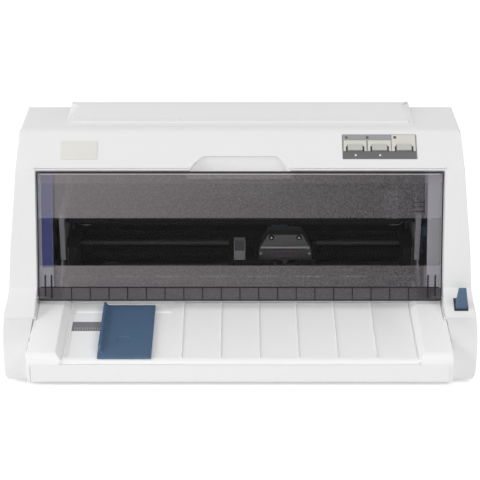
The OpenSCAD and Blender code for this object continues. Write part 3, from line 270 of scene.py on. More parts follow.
def metal(name, colour, rough, lines=260, relief=0.05, dust=0.0):
    """A drawn, turned or rolled metal with lines in it and duller patches."""
    material, tree, skin = new_material(name)
    drawn = use_effect(tree, DRAWN, Scale=lines)
    darker = tuple(c * 0.72 for c in colour[:3]) + (1,)
    tone = blend_colours(tree, drawn.outputs["Streak"], colour, darker)
    rubbed = use_effect(tree, EDGE_WEAR, Amount=0.5)
    paler = tuple(min(1, c * 1.25 + 0.02) for c in colour[:3]) + (1,)
    tone = blend_colours(tree, rubbed.outputs["Mask"], tone, paler)
    if dust:
        settled = use_effect(tree, DUST, Amount=dust)
        tone = blend_colours(tree, settled.outputs["Mask"], tone, rgb(150, 146, 140))
    tree.links.new(tone, skin.inputs["Base Color"])
    skin.inputs["Metallic"].default_value = 1
    spread = maths(tree, "MULTIPLY", drawn.outputs["Height"], 0.2)
    tree.links.new(maths(tree, "ADD", spread, rough - 0.1), skin.inputs["Roughness"])
    raise_skin(tree, skin, drawn.outputs["Height"], relief, 0.0003)
    return material


case_white = moulded("case white", (0.80, 0.80, 0.80, 1), 0.46, relief=0.05, drift=0.02)
# the tray's white is paler than the case's: painted light that lifts the tray out of the
# shade the window casts on it
tray_white_lifted = moulded("tray white with painted light", (0.91, 0.91, 0.915, 1), 0.42, relief=0.05, drift=0.02)
table_white = moulded("table white", (0.74, 0.74, 0.75, 1), 0.42, dust=0.2)
foot_rubber = moulded("foot rubber", (0.03, 0.03, 0.032, 1), 0.8, grain=500, relief=0.3)
sheet_steel = metal("zinc steel", (0.46, 0.47, 0.48, 1), 0.42, dust=0.3)
ground_steel = metal("ground steel", (0.62, 0.62, 0.63, 1), 0.22, lines=600, relief=0.02)
scale_grey = moulded("scale grey", rgb(128, 126, 130), 0.5)
blue_plastic = moulded("slate blue plastic", rgb(76, 101, 129), 0.38, rub=(0.5, 1.5))
panel_grey = moulded("panel grey", rgb(138, 139, 142), 0.4)
lamp_dark = moulded("dark lamp lens", rgb(84, 88, 86), 0.2, coat=0.6)
key_grey = moulded("key grey", rgb(188, 188, 182), 0.42, rub=(0.5, 1.1))
plate_beige = moulded("plate beige", rgb(224, 223, 217), 0.35)
label_blue = moulded("label blue", rgb(28, 37, 118), 0.35, rub=None)
black_plastic = moulded("black plastic", rgb(38, 37, 39), 0.5, grain=420, relief=0.03,
                        rub=(0.5, 2.0), dust=0.08, shine=0.3)
cartridge_black = moulded("cartridge black", rgb(33, 31, 33), 0.5, grain=300, relief=0.03,
                          rub=None, dust=0.04, shine=0.2)
platen_rubber = moulded("platen rubber", rgb(30, 30, 31), 0.62, grain=300, relief=0.1,
                        rub=None, dust=0.12, shine=0.25)
black_steel = metal("blackened steel", (0.045, 0.045, 0.05, 1), 0.55)
frame_paint = moulded("pale grey frame", rgb(196, 194, 200), 0.4, rub=(0.3, 1.1))
motor_metal = metal("motor can", (0.12, 0.12, 0.13, 1), 0.45, dust=0.15)
pulley_metal = metal("pulley metal", (0.50, 0.50, 0.50, 1), 0.35)
bronze = metal("sintered bronze", (0.52, 0.34, 0.16, 1), 0.45)
head_metal = metal("head casting", (0.17, 0.165, 0.17, 1), 0.5, lines=420, dust=0.1)
dull_steel = metal("oiled steel", (0.06, 0.06, 0.065, 1), 0.46, lines=600, relief=0.02)
sensor_grey = moulded("sensor grey", rgb(180, 180, 185), 0.4)
circuit_green = moulded("circuit board", rgb(26, 84, 52), 0.4, coat=0.3, dust=0.3)


def band_mask(tree, place, low, high, fade):
    """1 between two heights over the floor, 0 outside them."""
    height = put(tree, "ShaderNodeSeparateXYZ")
    tree.links.new(place, height.inputs[0])
    above = maths(tree, "MULTIPLY", maths(tree, "SUBTRACT", height.outputs["Z"], low),
                  1 / fade, clamp=True)
    below = maths(tree, "MULTIPLY", maths(tree, "SUBTRACT", high, height.outputs["Z"]),
                  1 / fade, clamp=True)
    return maths(tree, "MULTIPLY", above, below)


def make_window_tint():
    """Smoked plastic, clear in the middle band and frosted above and below it."""
    material, tree, skin = new_material("smoked window")
    place = put(tree, "ShaderNodeTexCoord").outputs["Object"]
    up = math.cos(WIN_LEAN)
    clear = band_mask(tree, place, WIN_FOOT.z + CLEAR_FROM * up,
                      WIN_FOOT.z + CLEAR_TO * up, 0.0006)
    speckle = put(tree, "ShaderNodeTexNoise")
    speckle.inputs["Scale"].default_value = 520
    speckle.inputs["Detail"].default_value = 3
    speckle.inputs["Roughness"].default_value = 0.7
    tree.links.new(place, speckle.inputs["Vector"])
    cloudy = put(tree, "ShaderNodeTexNoise")
    cloudy.inputs["Scale"].default_value = 9
    tree.links.new(place, cloudy.inputs["Vector"])
    # the frosting is paler towards the left end, painted light from the left lamp, and paler
    # above the band
    across = put(tree, "ShaderNodeSeparateXYZ")
    tree.links.new(place, across.inputs[0])
    thickness_and_left_light = maths(tree, "ADD", maths(tree, "MULTIPLY", across.outputs["X"], -2.1), 0.42,
                  clamp=True)
    thickness_and_left_light = maths(tree, "ADD", maths(tree, "MULTIPLY", thickness_and_left_light, 0.85),
                  maths(tree, "MULTIPLY", cloudy.outputs["Fac"], 0.15), clamp=True)
    frost = blend_colours(tree, thickness_and_left_light, rgb(62, 60, 63), rgb(138, 133, 135))
    low = maths(tree, "MULTIPLY", maths(tree, "SUBTRACT", WIN_FOOT.z + 0.05,
                                        across.outputs["Z"]), 12, clamp=True)
    frost = blend_colours(tree, maths(tree, "MULTIPLY", low, 0.5), frost,
                          rgb(70, 67, 71))
    # a darker foot below the rib line, a denser head, and clearer ends past the frames
    foot = maths(tree, "LESS_THAN", across.outputs["Z"], WIN_FOOT.z + RIB_LINE * up)
    head = maths(tree, "GREATER_THAN", across.outputs["Z"],
                 WIN_FOOT.z + (WIN_LENGTH - 0.013) * up)
    ends = maths(tree, "GREATER_THAN",
                 maths(tree, "ABSOLUTE", across.outputs["X"]), FRAME_OUT)
    ends = maths(tree, "MULTIPLY", ends, maths(tree, "SUBTRACT", 1.0, foot))
    frost = blend_colours(tree, ends, frost, rgb(138, 135, 143))
    grit = maths(tree, "MULTIPLY", maths(tree, "SUBTRACT", speckle.outputs["Fac"], 0.38),
                 2.2, clamp=True)
    frost = blend_colours(tree, maths(tree, "MULTIPLY", grit, 0.34), frost,
                          rgb(176, 170, 172))
    frost = blend_colours(tree, maths(tree, "MULTIPLY", foot, 0.7), frost,
                          rgb(62, 60, 63))
    tree.links.new(blend_colours(tree, clear, frost, rgb(11, 10, 11)),
                   skin.inputs["Base Color"])
    # light is held back where it enters the plate, and not again on its way out; the
    # plastic scatters most of it on inwards, so it blocks less light than it hides
    entering = maths(tree, "SUBTRACT", 1.0,
                     put(tree, "ShaderNodeNewGeometry").outputs["Backfacing"])
    held = maths(tree, "SUBTRACT", 0.76, maths(tree, "MULTIPLY", clear, 0.18))
    for zone, more in ((foot, 0.12), (head, 0.13), (low, 0.06), (ends, -0.30)):
        held = maths(tree, "ADD", held, maths(tree, "MULTIPLY", zone, more))
    sight = put(tree, "ShaderNodeLightPath").outputs["Is Camera Ray"]
    held = maths(tree, "MULTIPLY", held,
                 maths(tree, "ADD", 0.3, maths(tree, "MULTIPLY", sight, 0.7)))
    tree.links.new(maths(tree, "MULTIPLY", held, entering), skin.inputs["Alpha"])
    tree.links.new(maths(tree, "SUBTRACT", 0.5, maths(tree, "MULTIPLY", clear, 0.38)),
                   skin.inputs["Roughness"])
    skin.inputs["Specular IOR Level"].default_value = 0.05
    rough = maths(tree, "MULTIPLY", maths(tree, "SUBTRACT", 1.0, clear),
                  speckle.outputs["Fac"])
    raise_skin(tree, skin, rough, 0.08, 0.0003)
    return material


tinted_window = make_window_tint()

FINISH = {
    case_white: ["lower_case", "upper_case", "rear_cover"],
    tray_white_lifted: ["paper_tray"],
    table_white: ["paper_table"],
    foot_rubber: ["rubber_feet"],
    sheet_steel: ["case_screws", "base_plate", "lever_pin", "lever_stud"],
    frame_paint: ["left_frame", "right_frame"],
    black_steel: ["motor_bracket", "guide_rail"],
    ground_steel: ["window_pins"],
    dull_steel: ["carriage_shaft", "tractor_shaft", "tractor_rod"],
    scale_grey: ["tray_scale"],
    blue_plastic: ["edge_guide", "release_lever", "thickness_lever"],
    tinted_window: ["window_panel"],
    panel_grey: ["panel_plate"],
    lamp_dark: ["panel_lamps"],
    circuit_green: ["panel_board", "electronics"],
    key_grey: ["key_left", "key_middle", "key_right"],
    plate_beige: ["name_plate"],
    black_plastic: ["left_tractor", "right_tractor", "left_flap", "right_flap",
                    "ribbon_knob", "sockets", "power_rocker"],
    cartridge_black: ["ribbon_cartridge", "rear_guide", "carriage"],
    platen_rubber: ["platen", "front_roller", "rear_roller", "front_pinch", "rear_pinch",
                    "feed_belt", "tractor_belt", "carriage_belt"],
    motor_metal: ["feed_motor", "carriage_motor"],
    pulley_metal: ["motor_pulley", "belt_pulley", "belt_idler"],
    bronze: ["carriage_bushes", "roller_bushes"],
    head_metal: ["print_head"],
    sensor_grey: ["edge_sensor"],
}
for finish, names in FINISH.items():
    for name in names:
        slots = NODES[name].data.materials
        slots.clear()
        slots.append(finish)


# ---------------------------------------------------------------- pieces
def only(piece):
    bpy.ops.object.select_all(action="DESELECT")
    piece.select_set(True)
    bpy.context.view_layer.objects.active = piece


def apply_all(piece):
    only(piece)
    for modifier in list(piece.modifiers):
        bpy.ops.object.modifier_apply(modifier=modifier.name)


def shift(piece, wanted, move=(0, 0, 0)):
    """Moves the points that the test wants."""
    only(piece)
    bpy.ops.object.mode_set(mode="EDIT")
    bpy.ops.mesh.select_all(action="DESELECT")
    bpy.ops.mesh.select_mode(type="VERT")
    mesh = bmesh.from_edit_mesh(piece.data)
    for point in mesh.verts:
        point.select_set(wanted(point.co))
    bmesh.update_edit_mesh(piece.data)
    bpy.ops.transform.translate(value=move)
    bpy.ops.object.mode_set(mode="OBJECT")


def soften(node, width, steps=2, angle=28, reshape=None):
    """The node's own shape with rounded edges, in place of the sharp one."""
    source = NODES[node]
    piece = source.copy()
    piece.data = source.data.copy()
    piece.name = node + "_shell"
    for key in list(piece.keys()):
        del piece[key]
    bpy.context.scene.collection.objects.link(piece)
    only(piece)
    bpy.ops.object.mode_set(mode="EDIT")
    bpy.ops.mesh.select_all(action="SELECT")
    bpy.ops.mesh.remove_doubles(threshold=0.00001)
    bpy.ops.mesh.tris_convert_to_quads(face_threshold=math.radians(1),
                                       shape_threshold=math.radians(120))
    bpy.ops.object.mode_set(mode="OBJECT")
    if reshape:
        reshape(piece)
    rounding = piece.modifiers.new("rounding", "BEVEL")
    rounding.width = width
    rounding.segments = steps
    rounding.limit_method = "ANGLE"
    rounding.angle_limit = math.radians(angle)
    rounding.use_clamp_overlap = False
    apply_all(piece)
    bpy.ops.object.shade_smooth_by_angle(angle=math.radians(40))
    weights = piece.modifiers.new("weights", "WEIGHTED_NORMAL")
    weights.keep_sharp = True
    apply_all(piece)
    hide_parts(node)
    return piece


BODY_OF = {part: body for body, parts in frame["record"]["behaviour"]["bodies"].items()
           for part in parts}


def dress(node, width, **options):
    piece = soften(node, width, **options)
    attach(piece, BODY_OF[node])
    return piece


cover_low, cover_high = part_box("rear_cover")
COVER_RISE = 0.005
COVER_EDGE = 0.007


def ease_cover(piece):
    """Draws the raised top back and in, so that its front and sides rise gently."""
    def on_top(p):
        return p.z > cover_high.z - 0.0001
    shift(piece, lambda p: on_top(p) and p.y < cover_low.y + COVER_EDGE, (0, 0.036, 0))
    shift(piece, lambda p: on_top(p) and p.x < cover_low.x + COVER_EDGE, (0.006, 0, 0))
    shift(piece, lambda p: on_top(p) and p.x > cover_high.x - COVER_EDGE, (-0.006, 0, 0))
    shift(piece, lambda p: p.y < cover_low.y + 0.0005
          and p.z > cover_high.z - COVER_RISE + 0.0002, (0, 0, -0.00025))


def slim_flange(piece):
    """The folded front edge of a side frame, as narrow as it shows."""
    outer = 1 if piece.name.startswith("right") else -1
    shift(piece, lambda p: abs(p.x) > FRAME_OUT + 0.001, (-outer * 0.0032, 0, 0))


dress("upper_case", 0.0008, angle=36)
dress("rear_cover", 0.0012, steps=3, reshape=ease_cover)
dress("left_frame", 0.0002, reshape=slim_flange)
dress("right_frame", 0.0002, reshape=slim_flange)
for part, width in (("lower_case", 0.0007), ("paper_tray", 0.0006),
                    ("edge_guide", 0.0004), ("release_lever", 0.0006),
                    ("thickness_lever", 0.0005), ("window_panel", 0.0005),
                    ("panel_plate", 0.0002), ("key_left", 0.0004),
                    ("key_middle", 0.0004), ("key_right", 0.0004),
                    ("name_plate", 0.0002),
                    ("carriage", 0.0006),
                    ("ribbon_cartridge", 0.0008), ("sockets", 0.0004),
                    ("power_rocker", 0.0004)):
    dress(part, width)
SENSOR_ASIDE = 0.0036
dress("edge_sensor", 0.0006,
      reshape=lambda piece: shift(piece, lambda p: True, (SENSOR_ASIDE, 0, 0)))


# ---------------------------------------------------------------- new pieces
def on_slope(x, foot, along, tilt):
    """Where a piece drawn flat goes: x across, y up a slope that starts at foot."""
    place = foot + along * Vector((0, math.cos(tilt), math.sin(tilt)))
    return Matrix.Translation((x, place.y, place.z)) @ Matrix.Rotation(tilt, 4, "X")


def on_brow(x, along):
    return on_slope(x, BROW_FOOT, along, BROW_TILT)


def on_window(x, along):
    return on_slope(x, WIN_FOOT, along, math.radians(90) - WIN_LEAN)


def on_deck(x, along):
    return on_slope(x, DECK_FOOT, along, DECK_TILT)


def edit(piece):
    only(piece)
    bpy.ops.object.mode_set(mode="EDIT")
    bpy.ops.mesh.select_all(action="DESELECT")
    return bmesh.from_edit_mesh(piece.data)


def pick_faces(piece, wanted):
    """Selects the faces that the test wants, in edit mode."""
    mesh = edit(piece)
    bpy.ops.mesh.select_mode(type="FACE")
    for face in mesh.faces:
        face.select_set(wanted(face))
    bmesh.update_edit_mesh(piece.data)


def settle(piece, place, finish, body, round_by=0.0, steps=2, smooth=35):
    """Rounds a new piece, sets it in its place and hangs it on its body."""
    if bpy.context.object and bpy.context.object.mode == "EDIT":
        bpy.ops.object.mode_set(mode="OBJECT")
    only(piece)
    bpy.ops.object.transform_apply(location=True, rotation=True, scale=True)
    if round_by:
        rounding = piece.modifiers.new("rounding", "BEVEL")
        rounding.width = round_by
        rounding.segments = steps
        rounding.limit_method = "ANGLE"
        rounding.angle_limit = math.radians(35)
        apply_all(piece)
    bpy.ops.object.shade_smooth_by_angle(angle=math.radians(smooth))
    piece.data.transform(place)
    piece.data.materials.clear()
    piece.data.materials.append(finish)
    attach(piece, body)
    return piece


def thin_plate(name, left, right, low, high, thickness_and_left_light, windows=(), low_corners=0.0):
    """A flat plate in its own plane, with windows cut in it and its low corners rounded."""
    bpy.ops.object.select_all(action="DESELECT")
    bpy.ops.mesh.primitive_plane_add(size=1, location=((left + right) / 2,
                                                       (low + high) / 2, 0))
    plate = bpy.context.object
    plate.name = name
    plate.scale = (right - left, high - low, 1)
    bpy.ops.object.transform_apply(location=True, rotation=True, scale=True)
    if windows:
        edit(plate)
        for x0, x1, y0, y1 in windows:
            for spot, way in (((x0, 0, 0), (1, 0, 0)), ((x1, 0, 0), (1, 0, 0)),
                              ((0, y0, 0), (0, 1, 0)), ((0, y1, 0), (0, 1, 0))):
                bpy.ops.mesh.select_all(action="SELECT")
                bpy.ops.mesh.bisect(plane_co=spot, plane_no=way)
        bpy.ops.object.mode_set(mode="OBJECT")

        def in_window(face):
            c = face.calc_center_median()
            return any(x0 < c.x < x1 and y0 < c.y < y1 for x0, x1, y0, y1 in windows)
        pick_faces(plate, in_window)
        bpy.ops.mesh.delete(type="FACE")
        bpy.ops.object.mode_set(mode="OBJECT")
    if low_corners:
        mesh = edit(plate)
        bpy.ops.mesh.select_mode(type="VERT")
        for point in mesh.verts:
            point.select_set(point.co.y < low + 1e-5 and
                             (point.co.x < left + 1e-5 or point.co.x > right - 1e-5))
        bmesh.update_edit_mesh(plate.data)
        bpy.ops.mesh.bevel(offset=low_corners, segments=4, affect="VERTICES")
        bpy.ops.object.mode_set(mode="OBJECT")
    body = plate.modifiers.new("thickness", "SOLIDIFY")
    body.thickness = thickness_and_left_light
    body.offset = 1
    apply_all(plate)
    return plate


def turned(name, outline, sides=24):
    """A round piece about its own z axis, spun from its outline of (radius, z)."""
    bpy.ops.object.select_all(action="DESELECT")
    bpy.ops.mesh.primitive_circle_add(vertices=sides, radius=outline[0][0],
                                      fill_type="NGON",
                                      location=(0, 0, outline[0][1]))
    piece = bpy.context.object
    piece.name = name
    bpy.ops.object.transform_apply(location=True, rotation=True, scale=True)
    edit(piece)
    bpy.ops.mesh.select_all(action="SELECT")
    radius = outline[0][0]
    for new_radius, height in outline[1:]:
        bpy.ops.mesh.extrude_region_move(
            TRANSFORM_OT_translate={"value": (0, 0, 0)})
        grow = new_radius / radius
        bpy.ops.transform.resize(value=(grow, grow, 1), center_override=(0, 0, 0))
        now = [v.co.z for v in bmesh.from_edit_mesh(piece.data).verts if v.select][0]
        bpy.ops.transform.translate(value=(0, 0, height - now))
        radius = new_radius
    bpy.ops.mesh.select_all(action="SELECT")
    bpy.ops.mesh.normals_make_consistent(inside=False)
    bpy.ops.object.mode_set(mode="OBJECT")
    return piece


def copy_of(piece, name, move):
    twin = piece.copy()
    twin.data = piece.data.copy()
    twin.name = name
    bpy.context.scene.collection.objects.link(twin)
    twin.data.transform(Matrix.Translation(move))
    return twin


# ---- printed films, windows and dots of the control panel
panel_low, panel_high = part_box("panel_plate")
PANEL_X = (panel_low.x + panel_high.x) / 2
PANEL_UP = BROW_LENGTH * 0.58
PANEL_FACE = 0.0004
film_beige = moulded("panel film beige", rgb(211, 210, 200), 0.36, relief=0.02)
film_grey = moulded("panel film grey", rgb(150, 152, 155), 0.4, relief=0.02)
film_dark = moulded("panel film dark", rgb(98, 98, 101), 0.42, relief=0.02)
mark_white = moulded("mark white", rgb(226, 226, 222), 0.4, relief=0.02)
slit_black = moulded("slit black", rgb(34, 34, 36), 0.6)
KEY_UP = -0.0014
key_hole = {side: (x - 0.0079, x + 0.0079, KEY_UP - 0.0039, KEY_UP + 0.0038)
            for side, x in (("left", -0.025), ("middle", 0), ("right", 0.025))}


def panel_film(name, left, right, low, high, finish, holes=()):
    film = thin_plate(name, left, right, low, high, 0.00012, holes)
    return settle(film, on_brow(PANEL_X, PANEL_UP) @ Matrix.Translation((0, 0, PANEL_FACE)),
                  finish, "case")


panel_film("left_key_film", -0.0366, -0.0134, -0.0050, 0.0072, film_beige,
           [key_hole["left"]])
panel_film("middle_key_film", -0.0118, 0.0117, -0.0050, 0.0072, film_beige,
           [key_hole["middle"]])
panel_film("right_key_film", 0.0126, 0.0368, -0.0050, 0.0136, film_beige,
           [key_hole["right"], (0.0144, 0.0176, 0.0090, 0.0122)])
panel_film("panel_top_film", -0.0372, 0.0118, 0.0077, 0.0138, film_grey,
           [(-0.0352, -0.0320, 0.0090, 0.0122), (-0.0138, -0.0106, 0.0090, 0.0122)])
panel_film("panel_foot_film", -0.0372, 0.0372, -0.0138, -0.0055, film_dark)
for side, x in (("left", -0.025), ("middle", 0), ("right", 0.025)):
    for end, aside in (("left", -0.0087), ("right", 0.0087)):
        slit = thin_plate("%s_key_%s_slit" % (side, end), -0.0007, 0.0007, -0.0034, 0.0027,
                          0.0001)
        settle(slit, on_brow(PANEL_X + x + aside, PANEL_UP + KEY_UP - 0.0010) @
               Matrix.Translation((0, 0, PANEL_FACE + 0.00012)), slit_black, "case")
for side, x in (("left", -0.0246), ("middle", 0.0002)):
    dot = turned(side + "_panel_dot", [(0.0011, 0), (0.0011, 0.0002), (0.0009, 0.0003)],
                 sides=16)
    settle(dot, on_brow(PANEL_X + x, PANEL_UP - 0.0101) @
           Matrix.Translation((0, 0, PANEL_FACE)), mark_white, "case")

# ---- rim, rib lines and upper edge of the window
rim_black = moulded("window rim", rgb(34, 33, 35), 0.45, relief=0.03, rub=None, shine=0.2)
# the ribs moulded on the window are dark smoked plastic, and their dark colour is also
# painted shade of the ribs seen through the frost
rib_dark_shade = moulded("window rib painted shade", rgb(40, 38, 41), 0.5, relief=0.03, rub=None, shine=0.1)
edge_pale = moulded("window edge catch light", rgb(168, 165, 168), 0.3, relief=0.02)
win_low, win_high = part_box("window_panel")
WIN_HALF = win_high.x
RIB_STEP = 0.0192


def window_line(name, left, right, low, high, finish=rib_dark_shade, x=0, along=0,
                thickness_and_left_light=0.0003, **shape):
    """A line moulded on the window, drawn round a point x across and along its slope."""
    piece = thin_plate(name, left, right, low, high, thickness_and_left_light, **shape)
    return settle(piece, on_window(x, along), finish, "window")


window_line("window_rim", -WIN_HALF, WIN_HALF, 0.0004, WIN_LENGTH - 0.001, rim_black,
            windows=[(-WIN_HALF + 0.0012, WIN_HALF - 0.0012, 0.0016,
                      WIN_LENGTH - 0.0026)], low_corners=0.003)
window_line("window_rib_line", -WIN_HALF + 0.003, WIN_HALF - 0.003, 0.0139, 0.0149)
rib = window_line("window_rib_1", -0.0005, 0.0005, 0.0018, 0.0140, x=-9 * RIB_STEP)
for i in range(1, 19):
    copy_of(rib, "window_rib_%d" % (i + 1), (RIB_STEP * i, 0, 0))
window_line("window_catch_line", -WIN_HALF + 0.004, WIN_HALF - 0.004,
            WIN_LENGTH - 0.0042, WIN_LENGTH - 0.0034, edge_pale, thickness_and_left_light=0.0002)

# bars that stand out darker at the ends of the window, and a comb beside the right ones;
# their dark colour is partly painted shade
bar = window_line("window_end_bar_1", -0.0008, 0.0008, 0.0030, 0.0270, x=-0.1995)
for i, x in enumerate((0.0065, 0.3920, 0.3995)):
    copy_of(bar, "window_end_bar_%d" % (i + 2), (x, 0, 0))
comb = window_line("window_comb_1", -0.0062, 0.0045, -0.0003, 0.0003, x=0.1824,
                   along=0.0925)
for i, up in enumerate((0.0048, 0.0096)):
    copy_of(comb, "window_comb_%d" % (i + 2),
            (0, up * math.sin(WIN_LEAN), up * math.cos(WIN_LEAN)))
window_line("window_comb_back", -0.0004, 0.0004, -0.0015, 0.0125, x=0.1874, along=0.0925)

# ---- liners of the case's inner walls behind the ends of the window, and the blue strip
liner_grey = moulded("liner grey", rgb(166, 165, 172), 0.5, rub=None)
for side, x0, x1 in (("left", -0.2066, -0.1924), ("right", 0.1925, 0.2066)):
    liner = thin_plate(side + "_liner", x0, x1, 0.012, WIN_LENGTH - 0.001, 0.0010)
    settle(liner, on_window(0, 0) @ Matrix.Translation((0, 0, -0.0125)), liner_grey,
           "case")
label = thin_plate("side_label_face", -0.2036, -0.1926, 0.0330, WIN_LENGTH - 0.0015,
                   0.0003)
settle(label, on_window(0, 0) @ Matrix.Translation((0, 0, -0.0115)), label_blue, "case")
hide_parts("side_label")

# ---- collar round the release lever's slot
lever_low, lever_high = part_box("release_lever")
LEVER_X = (lever_low.x + lever_high.x) / 2
CHEEK_TILT = math.atan2(0.018, 0.03195)
CHEEK_FOOT = Vector((0, FRONT + 0.064, 0.041))
collar = thin_plate("lever_collar", -0.0075, 0.0066, 0.0086, 0.0240, 0.0003,
                    [(-0.0055, 0.0055, 0.0108, 0.0228)])
settle(collar, on_slope(LEVER_X, CHEEK_FOOT, 0, CHEEK_TILT), slit_black, "case")

# ---- print head: cast block, fins, nose, lip, screws and connectors
head_low, head_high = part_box("print_head")
HEAD_X = (head_low.x + head_high.x) / 2
HEAD_FRONT = head_low.y
HEAD_DEPTH = head_high.y - head_low.y
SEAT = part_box("edge_sensor")[0].z
upright = Matrix.Rotation(math.radians(90), 4, "X")


def slab(name, outline, depth):
    """A flat outline of (x, y) points, drawn out upwards by its depth."""
    bpy.ops.object.select_all(action="DESELECT")
    bpy.ops.mesh.primitive_circle_add(vertices=len(outline), radius=0.01,
                                      fill_type="NGON")
    piece = bpy.context.object
    piece.name = name
    for point, (x, y) in zip(piece.data.vertices, outline):
        point.co = (x, y, 0)
    edit(piece)
    bpy.ops.mesh.select_all(action="SELECT")
    bpy.ops.mesh.extrude_region_move(TRANSFORM_OT_translate={"value": (0, 0, depth)})
    bpy.ops.mesh.select_all(action="SELECT")
    bpy.ops.mesh.normals_make_consistent(inside=False)
    bpy.ops.object.mode_set(mode="OBJECT")
    return piece


def on_head(x, up, back=0.0):
    return Matrix.Translation((HEAD_X + x, HEAD_FRONT + back, SEAT + up)) @ upright


HEAD_OUTLINE = [(-0.0285, 0), (-0.0285, 0.0105), (-0.0272, 0.0140), (-0.0262, 0.0165),
                (-0.0185, 0.0302), (0.0185, 0.0302), (0.0262, 0.0165), (0.0272, 0.0140),
                (0.0285, 0.0105), (0.0285, 0)]
lip_bright = metal("head lip", (0.66, 0.64, 0.66, 1), 0.4)
cable_mauve = moulded("cable mauve", rgb(112, 96, 106), 0.5, rub=None)
cable_blue = moulded("cable blue", rgb(58, 66, 104), 0.4, rub=None)
ring_black = moulded("ring black", rgb(14, 14, 15), 0.7, rub=None, shine=0.1)
# a near-white finish for the dot on each screw head: a painted glint standing for light
# caught on the metal
screw_glint_white = moulded("screw painted glint", rgb(252, 252, 252), 0.2, rub=None)
SCREW_UP = 0.0271
block = slab("head_block", HEAD_OUTLINE, 0.0130)
settle(block, on_head(0, 0, 0.0130), head_metal, "carriage", round_by=0.0009,
       steps=3)
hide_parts("print_head")
fin = slab("head_fin_1", [(x * 0.94, y * 0.95) for x, y in HEAD_OUTLINE[2:8]],
           0.0016)
settle(fin, on_head(0, 0.0002, 0.0160), head_metal, "carriage",
       round_by=0.0003)
FIN_STEP = (HEAD_DEPTH - 0.0165) / 4
for i in range(1, 5):
    copy_of(fin, "head_fin_%d" % (i + 1), (0, FIN_STEP * i, 0))
core = slab("head_core", [(-0.020, 0), (-0.020, 0.022), (0.020, 0.022), (0.020, 0)],
            HEAD_DEPTH - 0.013)
settle(core, on_head(0, 0, HEAD_DEPTH), head_metal, "carriage",
       round_by=0.0006)
platen_low, platen_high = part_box("platen")
PLATEN_Y = (platen_low.y + platen_high.y) / 2
nose_top = SEAT + 0.001 - head_low.z
nose = turned("head_nose", [(0.003, 0), (0.0054, nose_top * 0.55), (0.0054, nose_top)])
settle(nose, Matrix.Translation((HEAD_X, PLATEN_Y, head_low.z)), head_metal, "carriage",
       round_by=0.0004)

lip = thin_plate("head_lip", -0.0262, 0.0262, 0.0148, 0.0168, 0.0016)
settle(lip, on_head(0, 0), lip_bright, "carriage", round_by=0.0004)
shroud = thin_plate("head_connector_row", -0.0150, 0.0120, 0.0050, 0.0128, 0.0022,
                    [(-0.0134 + 0.0066 * i, -0.0086 + 0.0066 * i, 0.0068, 0.0110)
                     for i in range(4)])
settle(shroud, on_head(0, 0), cable_mauve, "carriage", round_by=0.0003)
for i, (x, up) in enumerate(((0.0258, 0.0085), (-0.0258, 0.0085), (0.0242, 0.0150))):
    stud = turned("head_stud_%d" % (i + 1), [(0.0014, 0), (0.0014, 0.0008),
                                             (0.0010, 0.0013)], sides=16)
    settle(stud, on_head(x, up), lip_bright, "carriage")
for i, x in enumerate((-0.0147, 0.0147)):
    ring = turned("head_screw_%d" % (i + 1), [(0.0028, 0), (0.0028, 0.0006),
                                              (0.0024, 0.0009)])
    settle(ring, on_head(x, SCREW_UP), ring_black, "carriage")
    if i == 0:
        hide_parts("head_screws")
    # a white dot on each screw head: painted glint
    point = turned("head_screw_point_%d" % (i + 1), [(0.0011, 0), (0.0011, 0.0003),
                                                     (0.0007, 0.0006)], sides=16)
    settle(point, on_head(x, SCREW_UP, -0.0009), screw_glint_white, "carriage")
lead = thin_plate("head_lead_end", -0.0140, 0.0030, 0.0258, 0.0310, 0.0016)
settle(lead, on_head(0, 0, HEAD_DEPTH), cable_blue, "carriage",
       round_by=0.0003)
# a dark plate over the sensor's upper half: the sensor's slot, and painted shade darkening
# the sensor's top
slot_and_shade = thin_plate("sensor_slot_and_shade", -0.0054, 0.0054, 0.0112, 0.0226, 0.0002)
sensor_low, sensor_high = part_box("edge_sensor")
settle(slot_and_shade, Matrix.Translation(((sensor_low.x + sensor_high.x) / 2 + SENSOR_ASIDE,
                                       sensor_low.y, sensor_low.z)) @ upright,
       film_dark, "carriage")

# ---- felt screen behind the cooling slots of the back wall
screen_black = moulded("screen black", rgb(26, 26, 27), 0.8, rub=None, shine=0.1)
screen = thin_plate("slot_screen", 0.054, 0.160, 0.049, 0.085, 0.0006)
settle(screen, Matrix.Translation((0, 0.1800, 0)) @ upright, screen_black, "case")

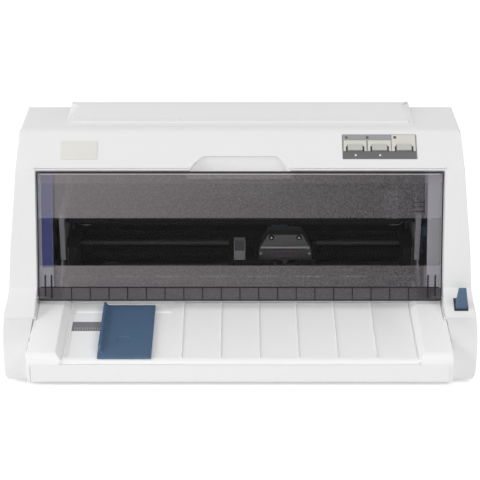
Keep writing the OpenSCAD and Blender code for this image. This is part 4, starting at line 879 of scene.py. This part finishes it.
# ---- ticks of the tray's scale
scale_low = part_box("tray_scale")[0]
tick = thin_plate("scale_tick_1", -0.00015, 0.00015, 0.0560, 0.0600, 0.0001)
settle(tick, on_deck(scale_low.x + 0.003, 0) @ Matrix.Translation((0, 0, -0.0005)),
       mark_white, "case")
for i in range(1, 15):
    copy_of(tick, "scale_tick_%d" % (i + 1), (0.00254 * i, 0, 0))

# ---------------------------------------------------------------- floor
bpy.ops.object.select_all(action="DESELECT")
bpy.ops.mesh.primitive_plane_add(size=14, location=(0, 0, 0))
floor = bpy.context.object
floor.name = "floor"
floor_white, tree, skin = new_material("floor white")
skin.inputs["Base Color"].default_value = (0.8, 0.8, 0.8, 1)
skin.inputs["Roughness"].default_value = 0.9
skin.inputs["Specular IOR Level"].default_value = 0.1
rays = put(tree, "ShaderNodeLightPath")
seen = maths(tree, "ADD", rays.outputs["Is Camera Ray"], rays.outputs["Is Glossy Ray"])
seen = maths(tree, "ADD", seen, rays.outputs["Is Transmission Ray"], clamp=True)
glow = put(tree, "ShaderNodeEmission")
tree.links.new(maths(tree, "MULTIPLY", seen, 0.45), glow.inputs["Strength"])
both = put(tree, "ShaderNodeAddShader")
tree.links.new(skin.outputs[0], both.inputs[0])
tree.links.new(glow.outputs[0], both.inputs[1])
tree.links.new(both.outputs[0], tree.nodes["Material Output"].inputs["Surface"])
floor.data.materials.append(floor_white)

world = bpy.data.worlds.new("studio")
bpy.context.scene.world = world
world.use_nodes = True
sky = world.node_tree.nodes["Background"]
sky.inputs["Color"].default_value = (1, 1, 1, 1)
rays = put(world.node_tree, "ShaderNodeLightPath")
seen = maths(world.node_tree, "MAXIMUM", rays.outputs["Is Camera Ray"],
             rays.outputs["Is Glossy Ray"])
seen = maths(world.node_tree, "MAXIMUM", seen, rays.outputs["Is Transmission Ray"])
level = maths(world.node_tree, "ADD", maths(world.node_tree, "MULTIPLY", seen, 0.41), 0.59)
world.node_tree.links.new(level, sky.inputs["Strength"])

bpy.ops.object.select_all(action="DESELECT")
